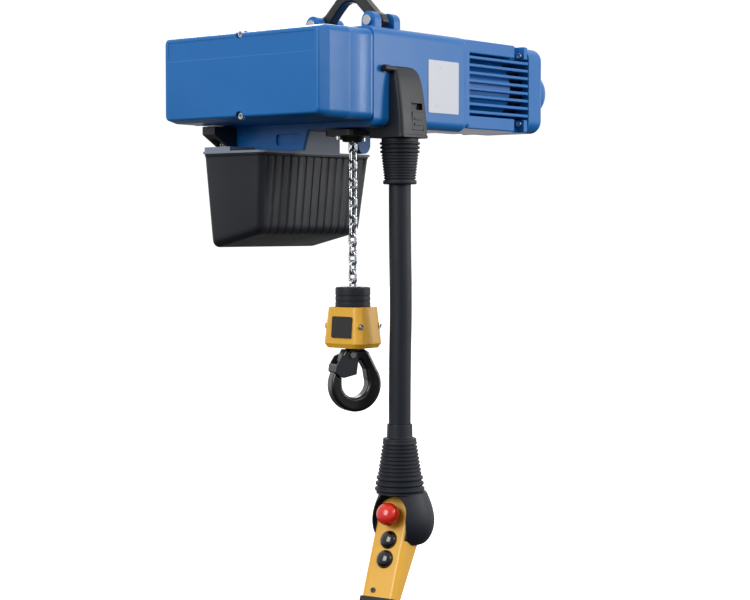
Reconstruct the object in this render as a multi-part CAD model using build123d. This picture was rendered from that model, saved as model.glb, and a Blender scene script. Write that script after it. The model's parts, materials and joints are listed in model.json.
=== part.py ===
from build123d import *
import math
import os

# Electric chain hoist with a hand pendant, hung from a forged bow.
# Frame: X along the motor axis (electrics cover at -X, motor at +X), the front with the
# control plug faces -Y, +Z is up. The origin is the inner apex of the suspension bow, on
# the vertical line of the load chain. All sizes in millimetres.

os.makedirs("parts", exist_ok=True)

# ---------------------------------------------------------------- driving dimensions
# Round link chain
PITCH = 12.2
WIRE = 4.1
LINK_HALF_WIDTH = 4.95            # to the middle of the wire
LINK_HALF_INNER = PITCH / 2 + 0.05

# Casings
FRONT_Y = -75.0
BACK_Y = 190.0
COVER_BACK_Y = 207.0
COVER_X = -146.7
SEAM_X = -47.0
HOUSING_X = 153.0
HOUSING_TOP = -38.0
HOUSING_BOTTOM = -165.4
COVER_TOP = -41.8
COVER_BOTTOM = -158.7
WALL = 4.5
COVER_WALL = 3.5

# Shaft lines: all shafts run along X, places are (Y, Z)
AXIS_Z = -103.0
MOTOR = (-10.0, AXIS_Z + 4.0)
POCKETS = 5
WHEEL_RADIUS = PITCH / 2 / math.tan(math.pi / (2 * POCKETS))
OUTPUT = (WHEEL_RADIUS, AXIS_Z)

# Gear train: module, pinion teeth, wheel teeth
STAGE_1 = (1.25, 13, 75)
STAGE_2 = (1.5, 15, 39)
STAGE_3 = (2.0, 17, 49)
FIRST_APART = STAGE_1[0] * (STAGE_1[1] + STAGE_1[2]) / 2
FIRST = (MOTOR[0] + math.sqrt(FIRST_APART**2 - (MOTOR[1] - AXIS_Z) ** 2), AXIS_Z)

# Gear planes along X
GEAR_1_X = (132.0, 142.0)
GEAR_2_X = (112.0, 124.0)
GEAR_3_X = (80.0, 98.0)
CARRIER_X = (100.0, 107.0)
INNER_WALL_X = (62.0, 70.0)
END_WALL_X = (-47.0, -34.0)

# Motor
BARREL_END_X = 277.0
FIN_END_X = 309.0
FAN_COVER_X = (311.0, 348.0)
DOME_END_X = 398.0
MOTOR_HALF_Y = 55.0
MOTOR_HALF_Z = 60.5
MOTOR_FLANGE_END_X = 164.0
BARREL_RADIUS = 46.0
STATOR_RADIUS = 41.5
FIN_PITCH = 10.6
FIN_THICKNESS = 4.4
REAR_BEARING_END_X = 270.5

# Chain store
BOX_BOLT = (179.0, -182.0)
BOX_HALF_X = 112.0
BOX_NEAR_Y = 61.0
BOX_FAR_Y = 170.0
BOX_TOP = -197.0
BOX_NEAR_BOTTOM = -303.0
BOX_FAR_BOTTOM = -324.0
BOX_WALL = 4.0
RIB_DEPTH = 1.5
RIB_PITCH = 10.0
SLACK_ANGLE = 36.0                # slack strand, from the vertical

# Hook block
BUFFER_TOP = -373.0
BLOCK_TOP = -399.0
BLOCK_BOTTOM = -452.7
BUFFER_RADIUS = 23.3
SHANK_RADIUS = 7.0
HOOK_TURN = -25.0                 # the hook's plane, about Z
HOOK_THICK = 20.0
HOOK_EDGE = 4.5
BOWL = (0.0, -500.0)
BOWL_RADIUS = 19.0
LATCH_PIVOT = (-6.0, -462.0)
LATCH_REACH = 33.0

# Control plug, cable and pendant
CABLE = (12.0, -70.0)
CABLE_DIAMETER = 29.0
BOOT_TOP = -179.0
BOOT_BOTTOM = -238.5
NECK_TOP = -550.0
PENDANT_ORIGIN = (-3.0, -71.2, -670.5)
PENDANT_YAW = 8.0
PENDANT_LEAN = 22.0
PENDANT_HALF_WIDTH = 26.0
PENDANT_FOOT = -106.0
SHELL_SPLIT = 15.0
STOP_RADIUS = 14.8
BUTTON_RADIUS = 11.8
BUTTON_Z = (-30.5, -56.0)
PENDANT_SCREW = (8.0, -97.5)      # across the front face, along the handle

FIT = 0.03                        # radial clearance of running and screw fits
GAP = 0.3                         # free gap between pieces that move past each other


# ---------------------------------------------------------------- small helpers
def rod_x(radius, x0, x1, place):
    y, z = place
    return Pos((x0 + x1) / 2, y, z) * Rot(0, 90, 0) * Cylinder(radius, abs(x1 - x0))


def rod_y(radius, y0, y1, x, z):
    return Pos(x, (y0 + y1) / 2, z) * Rot(90, 0, 0) * Cylinder(radius, y1 - y0)


def rod_z(radius, z0, z1, x=0.0, y=0.0):
    return Pos(x, y, (z0 + z1) / 2) * Cylinder(radius, abs(z1 - z0))


def block(x0, x1, y0, y1, z0, z1):
    centre = Pos((x0 + x1) / 2, (y0 + y1) / 2, (z0 + z1) / 2)
    return centre * Box(abs(x1 - x0), abs(y1 - y0), abs(z1 - z0))


def bar_x(face_points, x0, x1):
    """A prism along X from an outline in (Y, Z)."""
    outline = make_face(Polyline(*face_points, close=True))
    return Plane(origin=(x0, 0, 0), x_dir=(0, 1, 0), z_dir=(1, 0, 0)) * extrude(
        outline, x1 - x0
    )


def bar_y(face_points, y0, y1):
    """A prism along Y from an outline in (X, Z)."""
    outline = make_face(Polyline(*face_points, close=True))
    return Plane(origin=(0, y1, 0), x_dir=(1, 0, 0), z_dir=(0, -1, 0)) * extrude(
        outline, y1 - y0
    )


def turned(points, x=0.0, y=0.0):
    """A body of revolution about a vertical axis from (radius, Z) points."""
    outline = make_face(Plane.XZ * Polyline(*points, close=True))
    return Pos(x, y, 0) * revolve(outline, Axis.Z)


def solids(*shapes):
    """Several separate solids as one node."""
    return Compound(children=[s for shape in shapes for s in shape.solids()])


def save(node, shape):
    export_step(shape, f"parts/{node}.step")


# ---------------------------------------------------------------- chain
def link(wire=WIRE, half_inner=LINK_HALF_INNER):
    """One link in the XZ plane, long axis Z."""
    half = LINK_HALF_WIDTH
    top = half_inner + wire / 2 - half
    middle = Curve() + [
        Line((half, 0, -top), (half, 0, top)),
        ThreePointArc((half, 0, top), (0, 0, top + half), (-half, 0, top)),
        Line((-half, 0, top), (-half, 0, -top)),
        ThreePointArc((-half, 0, -top), (0, 0, -top - half), (half, 0, -top)),
    ]
    section = Plane(origin=(half, 0, -top), z_dir=(0, 0, 1)) * Circle(wire / 2)
    return sweep(section, path=middle.wire())


LINK = link()
WHEEL_LINK = link(WIRE - 0.9, LINK_HALF_INNER + 0.35)   # free at the wheel's corners


def chain_link(centre_yz, tilt, crosswise, shape=LINK):
    """A link at (Y, Z) whose long axis leans by tilt degrees from Z towards -Y."""
    y, z = centre_yz
    return Pos(0, y, z) * Rot(tilt, 0, 0) * Rot(0, 0, 90 if crosswise else 0) * shape


def load_chain(count=27):
    """The load strand: straight down from the pocket wheel to the hook block."""
    top = chain_link((0, AXIS_Z), 0, False, WHEEL_LINK)
    hanging = [
        chain_link((0, AXIS_Z - k * PITCH), 0, k % 2 == 1) for k in range(1, count)
    ]
    return solids(top, *hanging)


def wheel_point(angle):
    """A point of the chain line round the pocket wheel, angle from +Y to +Z."""
    a = math.radians(angle)
    return (
        OUTPUT[0] + WHEEL_RADIUS * math.cos(a),
        OUTPUT[1] + WHEEL_RADIUS * math.sin(a),
    )


def slack_point(distance):
    """A point of the slack strand, by its distance from the wheel."""
    y, z = wheel_point(SLACK_ANGLE)
    a = math.radians(SLACK_ANGLE)
    return y + distance * math.sin(a), z - distance * math.cos(a)


def slack_chain(count=11):
    return solids(
        *[
            chain_link(slack_point(k * PITCH), SLACK_ANGLE, k % 2 == 1)
            for k in range(1, count + 1)
        ]
    )


def stored_chain():
    """The links on the pocket wheel and the chain laid to and fro in the store."""
    step = 180 / POCKETS
    wrapped = [
        chain_link(wheel_point(180 - j * step), -j * step, j % 2 == 1, WHEEL_LINK)
        for j in range(1, 5)
    ]
    laid = []
    rows, per_row = 4, 12
    for row in range(rows):
        for k in range(per_row):
            x = (k - (per_row - 1) / 2) * PITCH
            roll = 45 if k % 2 else -45
            place = Pos(x, 95 + row * 19, -299.0 + 8.0 - row * 3.4)
            laid.append(place * Rot(roll, 0, 0) * Rot(0, 90, 0) * LINK)
    return solids(*wrapped, *laid)


# ---------------------------------------------------------------- gears and bearings
def involute(base, radius):
    t = math.sqrt((radius / base) ** 2 - 1)
    return t - math.atan(t)


def gear_outline(module, teeth, addendum):
    """Points of a spur gear outline, one tooth centred on +X of its own plane."""
    pitch = module * teeth / 2
    base = pitch * math.cos(math.radians(20))
    root = pitch - 1.25 * module
    tip = pitch + addendum * module
    half = math.pi / (2 * teeth) * 0.93 + involute(base, pitch)
    start = max(base, root)
    radii = [start + (tip - start) * k / 4 for k in range(5)]
    flank = [(r, half - involute(base, r)) for r in radii]
    if root < base:
        flank.insert(0, (root, half))
    points = []
    for tooth in range(teeth):
        centre = 2 * math.pi * tooth / teeth
        points += [(r, centre - a) for r, a in flank]
        points += [(r, centre + a) for r, a in reversed(flank)]
    return [(r * math.cos(a), r * math.sin(a)) for r, a in points]


def gear(stage, wheel, x_span, place, toward, bore):
    """A pinion or a wheel. Its tooth, or its gap, points at the mating shaft."""
    module, pinion_teeth, wheel_teeth = stage
    teeth = wheel_teeth if wheel else pinion_teeth
    facing = math.degrees(math.atan2(toward[1] - place[1], toward[0] - place[0]))
    phase = facing + (180 / teeth if wheel else 0)
    outline = make_face(
        Polyline(*gear_outline(module, teeth, 0.8 if wheel else 0.95), close=True)
    )
    turned_outline = Rot(0, 0, phase) * outline
    plane = Plane(origin=(x_span[0], *place), x_dir=(0, 1, 0), z_dir=(1, 0, 0))
    body = plane * extrude(turned_outline, x_span[1] - x_span[0])
    return body - rod_x(bore, x_span[0] - 1, x_span[1] + 1, place) if bore else body


def second_shaft_place():
    """The second shaft sits a gear pair's centre distance from both neighbours."""
    to_first = STAGE_2[0] * (STAGE_2[1] + STAGE_2[2]) / 2
    to_output = STAGE_3[0] * (STAGE_3[1] + STAGE_3[2]) / 2
    apart = FIRST[0] - OUTPUT[0]
    y = (to_output**2 - to_first**2 + apart**2) / (2 * apart)
    return OUTPUT[0] + y, AXIS_Z - math.sqrt(to_output**2 - y**2)


SECOND = second_shaft_place()


def bearing(bore, outer, x0, x1, place):
    """A deep-groove ball bearing: two rings and eight balls."""
    ring = 0.3 * (outer - bore)
    middle = (bore + outer) / 2
    ball = 0.98 * ((outer - bore) / 2 - ring) + 0.9
    outer_ring = rod_x(outer, x0, x1, place) - rod_x(outer - ring, x0 - 1, x1 + 1, place)
    inner_ring = rod_x(bore + ring, x0, x1, place) - rod_x(bore, x0 - 1, x1 + 1, place)
    groove = Pos((x0 + x1) / 2, *place) * Rot(0, 90, 0) * Torus(middle, ball + 0.02)
    balls = []
    for k in range(8):
        a = math.tau * k / 8
        y = place[0] + middle * math.cos(a)
        z = place[1] + middle * math.sin(a)
        balls.append(Pos((x0 + x1) / 2, y, z) * Sphere(ball))
    return solids(outer_ring - groove, inner_ring - groove, *balls)


# Bearing seats: bore radius, outer radius, X span, shaft
SEATS = {
    "motor_front": (6.0, 14.0, (144.5, 153.0), MOTOR),
    "motor_rear": (6.0, 14.0, (262.0, 270.5), MOTOR),
    "output_end": (7.5, 14.0, (-44.0, -36.0), OUTPUT),
    "output_inner": (7.5, 14.0, INNER_WALL_X, OUTPUT),
    "output_carrier": (7.5, 14.0, CARRIER_X, OUTPUT),
    "first_carrier": (4.0, 11.0, CARRIER_X, FIRST),
    "first_motor": (4.0, 11.0, (146.0, 153.0), FIRST),
    "second_inner": (5.0, 11.0, INNER_WALL_X, SECOND),
    "second_carrier": (5.0, 11.0, CARRIER_X, SECOND),
}


def seat_hole(name, extra=0.0):
    _, outer, (x0, x1), place = SEATS[name]
    return rod_x(outer, x0 - extra, x1 + extra, place)


def bearings(names):
    return solids(
        *[bearing(b, o, x[0], x[1], place) for b, o, x, place in map(SEATS.get, names)]
    )


# ---------------------------------------------------------------- housing and covers
SCREW_HEAD = (4.25, 5.0)          # M5 cap screw head: radius, height
SCREW_SHANK = (2.5, 16.0)
COVER_SCREWS = [(66.0, COVER_TOP - 6.5), (66.0, COVER_BOTTOM + 6.5)]
COVER_NOTCH_X = COVER_X + 8.0
CARRIER_SCREWS = [(-26.0, -60.0), (-26.0, -146.0), (105.0, -72.0), (105.0, -146.0)]
FAN_SCREWS = [(MOTOR[0] + sy * 48, MOTOR[1] + sz * 48) for sy in (-1, 1) for sz in (-1, 1)]
FAN_SCREW_X = 299.0
GUIDE_SCREWS = [(-24.0, 4.0), (24.0, 4.0)]
LUG_X = (19.25, 13.0)             # lug pair: middle, half of the gap for the bow
LUG_Y = 48.0
LUG_Z = -28.0
LUG_RADIUS = 11.5


def screw_x(head_x, direction, place):
    """A screw along X, its head's inner face at head_x, pointing in direction."""
    head = rod_x(SCREW_HEAD[0], head_x - direction * SCREW_HEAD[1], head_x, place)
    socket = rod_x(
        2.2, head_x - direction * (SCREW_HEAD[1] + 1), head_x - direction * 2.5, place
    )
    shank = rod_x(SCREW_SHANK[0], head_x, head_x + direction * SCREW_SHANK[1], place)
    return head + shank - socket


def screw_hole_x(head_x, direction, place, length=SCREW_SHANK[1] + 1):
    return rod_x(SCREW_SHANK[0] + FIT, head_x, head_x + direction * length, place)


def screw_z(x, y, z):
    """A screw from below, its head's upper face at z."""
    head = rod_z(SCREW_HEAD[0], z - SCREW_HEAD[1], z, x, y)
    shank = rod_z(SCREW_SHANK[0], z, z + 12, x, y)
    return head + shank - rod_z(2.2, z - SCREW_HEAD[1] - 1, z - 2.5, x, y)


def housing_screws():
    return solids(
        *[screw_x(COVER_NOTCH_X, 1, p) for p in COVER_SCREWS],
        *[screw_x(CARRIER_X[1], -1, p) for p in CARRIER_SCREWS],
        *[screw_x(FAN_SCREW_X, 1, p) for p in FAN_SCREWS],
        *[screw_z(x, y, -175.0) for x, y in GUIDE_SCREWS],
    )


def housing_outer():
    body = block(SEAM_X, HOUSING_X, FRONT_Y, BACK_Y, HOUSING_BOTTOM, HOUSING_TOP)
    body = fillet(body.edges().filter_by(Axis.X), 12)
    end = body.faces().sort_by(Axis.X)[-1]
    return fillet(end.edges(), 9)


def main_housing():
    body = housing_outer()
    top, bottom = HOUSING_TOP - WALL, HOUSING_BOTTOM + WALL
    front, back = FRONT_Y + WALL, BACK_Y - WALL
    chain_room = block(END_WALL_X[1], INNER_WALL_X[0], front, 118, bottom, top)
    rear_room = block(END_WALL_X[1], INNER_WALL_X[0], 123, back, bottom, top)
    gear_room = block(INNER_WALL_X[1], HOUSING_X + 1, front, 118, bottom, top)
    rear_gear_room = block(INNER_WALL_X[1], HOUSING_X - WALL, 123, back, bottom, top)
    for room in (chain_room, rear_room, gear_room, rear_gear_room):
        body -= fillet(room.edges().filter_by(Axis.X), 6)
    # Posts for the gear carrier and pillars for the electrics cover
    for place in CARRIER_SCREWS:
        body += rod_x(8, INNER_WALL_X[1] - 1, CARRIER_X[0], place)
        body -= screw_hole_x(CARRIER_X[0] + 1, -1, place)
    for y, z in COVER_SCREWS:
        body += rod_x(5, COVER_NOTCH_X + COVER_WALL, SEAM_X + 1, (y, z))
        body -= screw_hole_x(COVER_NOTCH_X, 1, (y, z), 20)
    # Bearing seats and the shaft hole between the rooms
    for name in ("output_inner", "second_inner"):
        body -= seat_hole(name)
    body -= seat_hole("output_end", 0.01)
    body -= rod_x(9, -45, END_WALL_X[1] + 1, OUTPUT)
    # Cable windows from the electrics to the rooms at the back
    for x0, x1 in (END_WALL_X, INNER_WALL_X):
        body -= block(x0 - 1, x1 + 1, 135, 175, -145, -60)
    # Chain openings in the floor
    body -= rod_z(11, HOUSING_BOTTOM - 1, bottom + 1)
    body -= block(-12, 12, 62, 112, HOUSING_BOTTOM - 1, bottom + 1)
    # Suspension lugs
    for side_y in (-1, 1):
        for side_x in (-1, 1):
            x0, x1 = sorted((side_x * LUG_X[1], side_x * (2 * LUG_X[0] - LUG_X[1])))
            y = side_y * LUG_Y
            lug = rod_x(LUG_RADIUS, x0, x1, (y, LUG_Z))
            lug += block(x0, x1, y - LUG_RADIUS, y + LUG_RADIUS, HOUSING_TOP - 2, LUG_Z)
            body += lug
            body -= rod_x(5 + FIT, x0 - 1, x1 + 1, (y, LUG_Z))
    # Skirt over the chain store, with its slanted end and its cut-out
    skirt = bar_x(
        [(36, -164), (40, -172), (46, -193), (172, -193), (190, -177), (188, -164)],
        SEAM_X, SEAM_X + 5,
    )
    recess = fillet(block(SEAM_X - 1, SEAM_X + 3.5, 50, 94, -186, -171).edges().filter_by(
        Axis.X), 4)
    body += skirt - recess
    body -= rod_x(3 + FIT, SEAM_X - 1, SEAM_X + 6, BOX_BOLT)
    # Rounded lug that carries the store at its other end
    body += rod_y(13, 60, 74, 95, -180) + block(82, 108, 60, 74, -180, -163)
    for x, y in GUIDE_SCREWS:
        body += rod_z(6, -167, bottom + 10, x, y)
        body -= rod_z(SCREW_SHANK[0] + FIT, -175, -161, x, y)
    return body


def electrics_cover():
    outer = block(COVER_X, SEAM_X, FRONT_Y, COVER_BACK_Y, COVER_BOTTOM, COVER_TOP)
    outer = fillet(outer.edges().filter_by(Axis.X), 9)
    outer = fillet(outer.faces().sort_by(Axis.X)[0].edges(), 6)
    t = COVER_WALL
    inner = block(
        COVER_X + t, SEAM_X + 1, FRONT_Y + t, COVER_BACK_Y - t, COVER_BOTTOM + t,
        COVER_TOP - t,
    )
    outer -= fillet(inner.edges().filter_by(Axis.X), 6)
    for y, z in COVER_SCREWS:
        side = 1 if z > AXIS_Z else -1
        boss = rod_x(9, COVER_X + 2, COVER_NOTCH_X + t - 0.1, (y, z))
        outer += boss & block(COVER_X, 0, 0, BACK_Y, COVER_BOTTOM + 1, COVER_TOP - 1)
        notch = rod_x(6, COVER_X - 1, COVER_NOTCH_X, (y, z))
        edge = COVER_TOP if side > 0 else COVER_BOTTOM
        notch += block(COVER_X - 1, COVER_NOTCH_X, y - 6, y + 6, z, edge + side)
        outer -= notch
        outer -= screw_hole_x(COVER_NOTCH_X - 1, 1, (y, z))
        outer -= rod_x(5.3, COVER_NOTCH_X + t - 0.15, SEAM_X + 1, (y, z))
    return outer


def gear_carrier():
    plate = bar_x(
        [(-36, -50), (-36, -156), (115, -156), (115, -62), (60, -50)], *CARRIER_X
    )
    plate = fillet(plate.edges().filter_by(Axis.X), 8)
    for name in ("output_carrier", "first_carrier", "second_carrier"):
        plate -= seat_hole(name, 1)
    for place in CARRIER_SCREWS:
        plate -= screw_hole_x(CARRIER_X[1] + 1, -1, place)
    return plate


def motor_housing():
    """Finned motor body with its bearing shield, bolted to the gearbox end."""
    y0, y1 = MOTOR[0] - MOTOR_HALF_Y, MOTOR[0] + MOTOR_HALF_Y
    z0, z1 = MOTOR[1] - MOTOR_HALF_Z, MOTOR[1] + MOTOR_HALF_Z
    # Shield that closes the gear room
    body = block(143.5, 153, FRONT_Y + WALL + 0.2, 117.8, -160.7, -42.7)
    body = fillet(body.edges().filter_by(Axis.X), 6)
    flange = block(153, MOTOR_FLANGE_END_X, y0 - 4, y1 + 4, z0, z1)
    body += fillet(flange.edges().filter_by(Axis.X), 7)
    body += rod_x(BARREL_RADIUS, 152.5, BARREL_END_X, MOTOR)
    for z_low, z_high in ((z1 - 18, z1), (z0, z0 + 18)):
        panel = block(153, FIN_END_X - 2, y0, y1, z_low, z_high)
        body += fillet(panel.edges().filter_by(Axis.X), 2)
    # Horizontal cooling fins on both sides
    for k in range(8):
        z = MOTOR[1] + (k - 3.5) * FIN_PITCH
        fin = block(153, FIN_END_X, y0, y1, z - FIN_THICKNESS / 2, z + FIN_THICKNESS / 2)
        body += fillet(fin.edges().filter_by(Axis.X), 1.2)
    bore = rod_x(STATOR_RADIUS, 158, 258, MOTOR)
    rear_room = rod_x(40.0, REAR_BEARING_END_X, FIN_END_X + 1, MOTOR)
    body -= bore + rear_room
    # Screw pockets in the corners of the end
    for y, z in FAN_SCREWS:
        side_y = math.copysign(1, y - MOTOR[0])
        side_z = math.copysign(1, z - MOTOR[1])
        corner = block(FAN_SCREW_X - 24, FAN_SCREW_X, y - 6 * side_y, y + 9 * side_y, z - 5.5 * side_z,
                       z + 15 * side_z)
        body -= fillet(corner.edges().filter_by(Axis.Y), 1)
        body -= screw_hole_x(FAN_SCREW_X - 1, 1, (y, z), 22)
    body -= seat_hole("motor_front", 0)
    body -= rod_x(9, 140, 160, MOTOR)
    body -= rod_x(9, 255, 275, MOTOR)
    body -= seat_hole("motor_rear", 0.01)
    body -= seat_hole("first_motor", 0)
    body -= rod_x(7, 140, 150, FIRST)
    return body


def fan_cover():
    x0, x1 = FAN_COVER_X
    y0, y1 = MOTOR[0] - MOTOR_HALF_Y, MOTOR[0] + MOTOR_HALF_Y
    z0, z1 = MOTOR[1] - MOTOR_HALF_Z, MOTOR[1] + MOTOR_HALF_Z
    cap = block(x0, x1, y0, y1, z0, z1)
    cap = fillet(cap.edges().filter_by(Axis.X), 18)
    cap = fillet(cap.faces().sort_by(Axis.X)[-1].edges(), 9)
    dome = rod_x(35, x1 - 4, DOME_END_X, MOTOR)
    dome = fillet(dome.faces().sort_by(Axis.X)[-1].edges(), 22)
    body = cap + dome
    hollow = rod_x(44, x0 - 1, x1 - 4, MOTOR) + rod_x(30.5, x1 - 5, DOME_END_X - 20, MOTOR)
    body -= hollow
    for distance, half in ((26, 34), (40, 40)):
        for z in (MOTOR[1] + distance, MOTOR[1] - distance):
            rib = block(x1 - 1, x1 + 16, MOTOR[0] - half, MOTOR[0] + half, z - 1.3, z + 1.3)
            body += rib
    body -= rod_x(30.5, x1 - 5, x1 + 20, MOTOR)
    for y, z in FAN_SCREWS:
        body -= screw_hole_x(x0 - 1, 1, (y, z), 10)
    return body


def suspension_bow():
    """Forged bow: two leaning legs and a round crown, with an eye at each foot."""
    outer = [(-49, -37), (-57, -28), (-53, -19), (-43, -14), (-22, 7), (-9, 14), (9, 14),
             (22, 7), (43, -14), (53, -19), (57, -28), (49, -37), (39, -33), (29, -21),
             (21, -12), (11, -2.5), (5, 0), (-5, 0), (-11, -2.5), (-21, -12), (-29, -21),
             (-39, -33)]
    bow = bar_x(outer, -8, 8)
    bow = fillet(bow.edges().filter_by(Axis.X), 3)
    bow = chamfer(bow.faces().sort_by(Axis.X)[-1].edges(), 2.4)
    bow = chamfer(bow.faces().sort_by(Axis.X)[0].edges(), 2.4)
    for y in (-LUG_Y, LUG_Y):
        bow -= rod_x(5 + FIT, -12, 12, (y, LUG_Z))
    return bow


def suspension_pins():
    pins = []
    for y in (-LUG_Y, LUG_Y):
        end = 2 * LUG_X[0] - LUG_X[1] + 3.0
        pin = rod_x(5, -end, end, (y, LUG_Z))
        pin += rod_x(6.5, -end - 1, -end + 2.9, (y, LUG_Z))
        pins.append(chamfer(pin.faces().sort_by(Axis.X)[-1].edges(), 1))
    return solids(*pins)


def chain_guide():
    """Black guide plate under the floor with a funnel round the load chain."""
    plate = block(-34, 34, -26, 22, -175, HOUSING_BOTTOM - 2)
    plate = fillet(plate.edges().filter_by(Axis.Z), 8)
    plate += turned([(0, -166), (16, -166), (16, -176), (13, -182), (0, -182)])
    plate -= turned([(0, -160), (10.5, -160), (10.5, -178), (12, -183), (0, -183)])
    for x, y in GUIDE_SCREWS:
        plate -= rod_z(6.2, -167.3, -160, x, y)
        plate -= rod_z(SCREW_SHANK[0] + FIT, -176, -160, x, y)
    return plate


# ---------------------------------------------------------------- chain store
def box_shape(inset, top):
    """The tapering store: rim section to a floor that slopes down to the back."""
    half = BOX_HALF_X - inset
    near, far = BOX_NEAR_Y + inset, BOX_FAR_Y - inset
    side = [
        (near, top), (far, top), (far - 6, BOX_FAR_BOTTOM + inset),
        (near + 22, BOX_NEAR_BOTTOM + 1.5 + inset), (near + 11, BOX_NEAR_BOTTOM + 6 + inset),
    ]
    prism = bar_x(side, -half, half)
    front = [(-half, top), (half, top), (half - 9, BOX_FAR_BOTTOM - 1), (9 - half,
             BOX_FAR_BOTTOM - 1)]
    body = prism & bar_y(front, near - 20, far + 20)
    upright = body.edges().filter_by(
        lambda e: abs(e.tangent_at(0.5).Z) > 0.8 and e.length > 60
    )
    return fillet(upright, 12 - inset)


def chain_box():
    outer = box_shape(0, BOX_TOP)
    skin = box_shape(RIB_DEPTH, BOX_TOP)
    body = skin - box_shape(BOX_WALL, BOX_TOP + 1)
    rim = block(-150, 150, 0, 200, BOX_TOP - 6, BOX_TOP)
    body += (outer & rim) - box_shape(BOX_WALL, BOX_TOP + 1)
    # Upright ribs on the near face, carried on under the floor
    for k in range(-9, 10):
        x = k * RIB_PITCH
        slab = block(x - 2.2, x + 2.2, 0, 150, -400, BOX_TOP - 1)
        body += (outer & slab) - box_shape(RIB_DEPTH + 0.5, BOX_TOP + 1)
    return body


def chain_chute():
    """Grey lid of the store with the raised chute that leads the chain in."""
    y0, y1 = BOX_NEAR_Y - 1.5, BOX_FAR_Y + 1.5
    lid = block(-BOX_HALF_X - 1.5, BOX_HALF_X + 1.5, y0, y1, BOX_TOP, BOX_TOP + 3)
    lid = fillet(lid.edges().filter_by(Axis.Z), 12)
    duct = block(-40, 58, 70, 166, BOX_TOP + 2, HOUSING_BOTTOM)
    end = block(-108, -60, 120, 167, BOX_TOP + 2, -188)
    lid += fillet(duct.edges().filter_by(Axis.Z), 5) + end
    lid -= block(-14, 14, 74, 133, BOX_TOP - 1, HOUSING_BOTTOM + 1)
    lid -= block(18, 54, 79, 162, BOX_TOP - 1, HOUSING_BOTTOM - 3)
    return lid


def box_bracket():
    """Black wedge bracket between the housing and the store's far end."""
    wedge = bar_y(
        [(-90, COVER_BOTTOM - 0.5), (-90, -170), (-60, -188), (-48.5, -188),
         (-48.5, COVER_BOTTOM - 0.5)],
        166, 189,
    )
    return wedge - rod_x(3 + FIT, -90, -45, BOX_BOLT) - rod_x(8, -95, -58, BOX_BOLT)


def box_bolt():
    bolt = rod_x(3, -63, -36, BOX_BOLT) + rod_x(6.5, -62, -58, BOX_BOLT)
    return bolt + rod_x(6, -42, -37, BOX_BOLT) - rod_x(2.5, -65, -60.5, BOX_BOLT)


# ---------------------------------------------------------------- drive
def motor_shaft():
    shaft = rod_x(6.0 - FIT, 143, 375.5, MOTOR) + rod_x(9, 160, 255, MOTOR)
    return shaft + gear(STAGE_1, False, (130.0, 143.5), MOTOR, FIRST, 0)


def motor_rotor():
    return rod_x(24, 168, 246, MOTOR) - rod_x(9 + FIT, 160, 250, MOTOR)


def motor_stator():
    core = rod_x(STATOR_RADIUS - FIT, 168, 246, MOTOR) - rod_x(24.6, 160, 250, MOTOR)
    windings = rod_x(39, 160.5, 253.5, MOTOR) - rod_x(28, 150, 260, MOTOR)
    return core + windings


def fan():
    hub = rod_x(12, 314, 330, MOTOR) + rod_x(38, 314, 316.5, MOTOR)
    for k in range(7):
        blade = block(316, 330, -1.1, 1.1, 11, 38)
        hub += Pos(0, *MOTOR) * Rot(360 * k / 7, 0, 0) * blade
    return hub - rod_x(6 + FIT, 300, 340, MOTOR)


def brake_disc():
    disc = rod_x(26, 366, 372, MOTOR) + rod_x(11, 364, 375, MOTOR)
    return disc - rod_x(6 + FIT, 350, 380, MOTOR)


def brake_magnet():
    return rod_x(30.5 - FIT, 346, 361, MOTOR) - rod_x(12, 330, 365, MOTOR)


def brake_armature():
    return rod_x(29.5, 361.7, 365.7, MOTOR) - rod_x(13, 350, 370, MOTOR)


def first_shaft():
    shaft = rod_x(4 - FIT, 100, 153, FIRST) + rod_x(6, 126, 144, FIRST)
    return shaft + gear(STAGE_2, False, (109.0, 127.0), FIRST, SECOND, 0)


def first_gear():
    return gear(STAGE_1, True, GEAR_1_X, FIRST, MOTOR, 6 + FIT)


def second_shaft():
    shaft = rod_x(5 - FIT, 62.5, 126, SECOND)
    return shaft + gear(STAGE_3, False, (78.5, 99.5), SECOND, OUTPUT, 0)


def second_gear():
    return gear(STAGE_2, True, GEAR_2_X, SECOND, FIRST, 5)


def output_gear():
    return gear(STAGE_3, True, GEAR_3_X, OUTPUT, SECOND, 9 + FIT)


def output_shaft():
    return rod_x(7.5 - FIT, -43.5, 106.5, OUTPUT) + rod_x(9, -16, 61.5, OUTPUT) + rod_x(
        9, 70.5, 99.5, OUTPUT
    )


def pocket_wheel():
    """Five-pocket chain wheel: flat links lie between the flanges, the others
    stand in the middle groove."""
    wire_side = WHEEL_RADIUS - WIRE / 2 - 0.4
    half = LINK_HALF_WIDTH + WIRE / 2
    body = rod_x(22, -13, 13, OUTPUT)
    for x0, x1, radius in (
        (-half - 0.5, half + 0.5, wire_side),
        (-WIRE / 2 - 0.6, WIRE / 2 + 0.6, WHEEL_RADIUS - half - 0.4),
    ):
        body -= rod_x(23, x0, x1, OUTPUT) - rod_x(radius, x0 - 1, x1 + 1, OUTPUT)
    for k in range(POCKETS):
        for side in (-1, 1):
            x0, x1 = sorted((side * (WIRE / 2 + 0.6), side * (half + 0.6)))
            tooth = block(x0, x1, -0.9, 0.9, wire_side - 3, WHEEL_RADIUS + 1.0)
            body += Pos(0, *OUTPUT) * Rot(90 - 360 * (k + 0.5) / POCKETS, 0, 0) * tooth
    return body - rod_x(9 + FIT, -20, 20, OUTPUT)


# ---------------------------------------------------------------- hook block
CHAIN_PIN_Z = AXIS_Z - 26 * PITCH - LINK_HALF_INNER + 2.45
BLOCK_HALF_X = 27.0
BLOCK_HALF_Y = 33.0
BLOCK_SCREWS_X = 19.0
BLOCK_SCREW_Z = -424.0


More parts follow.
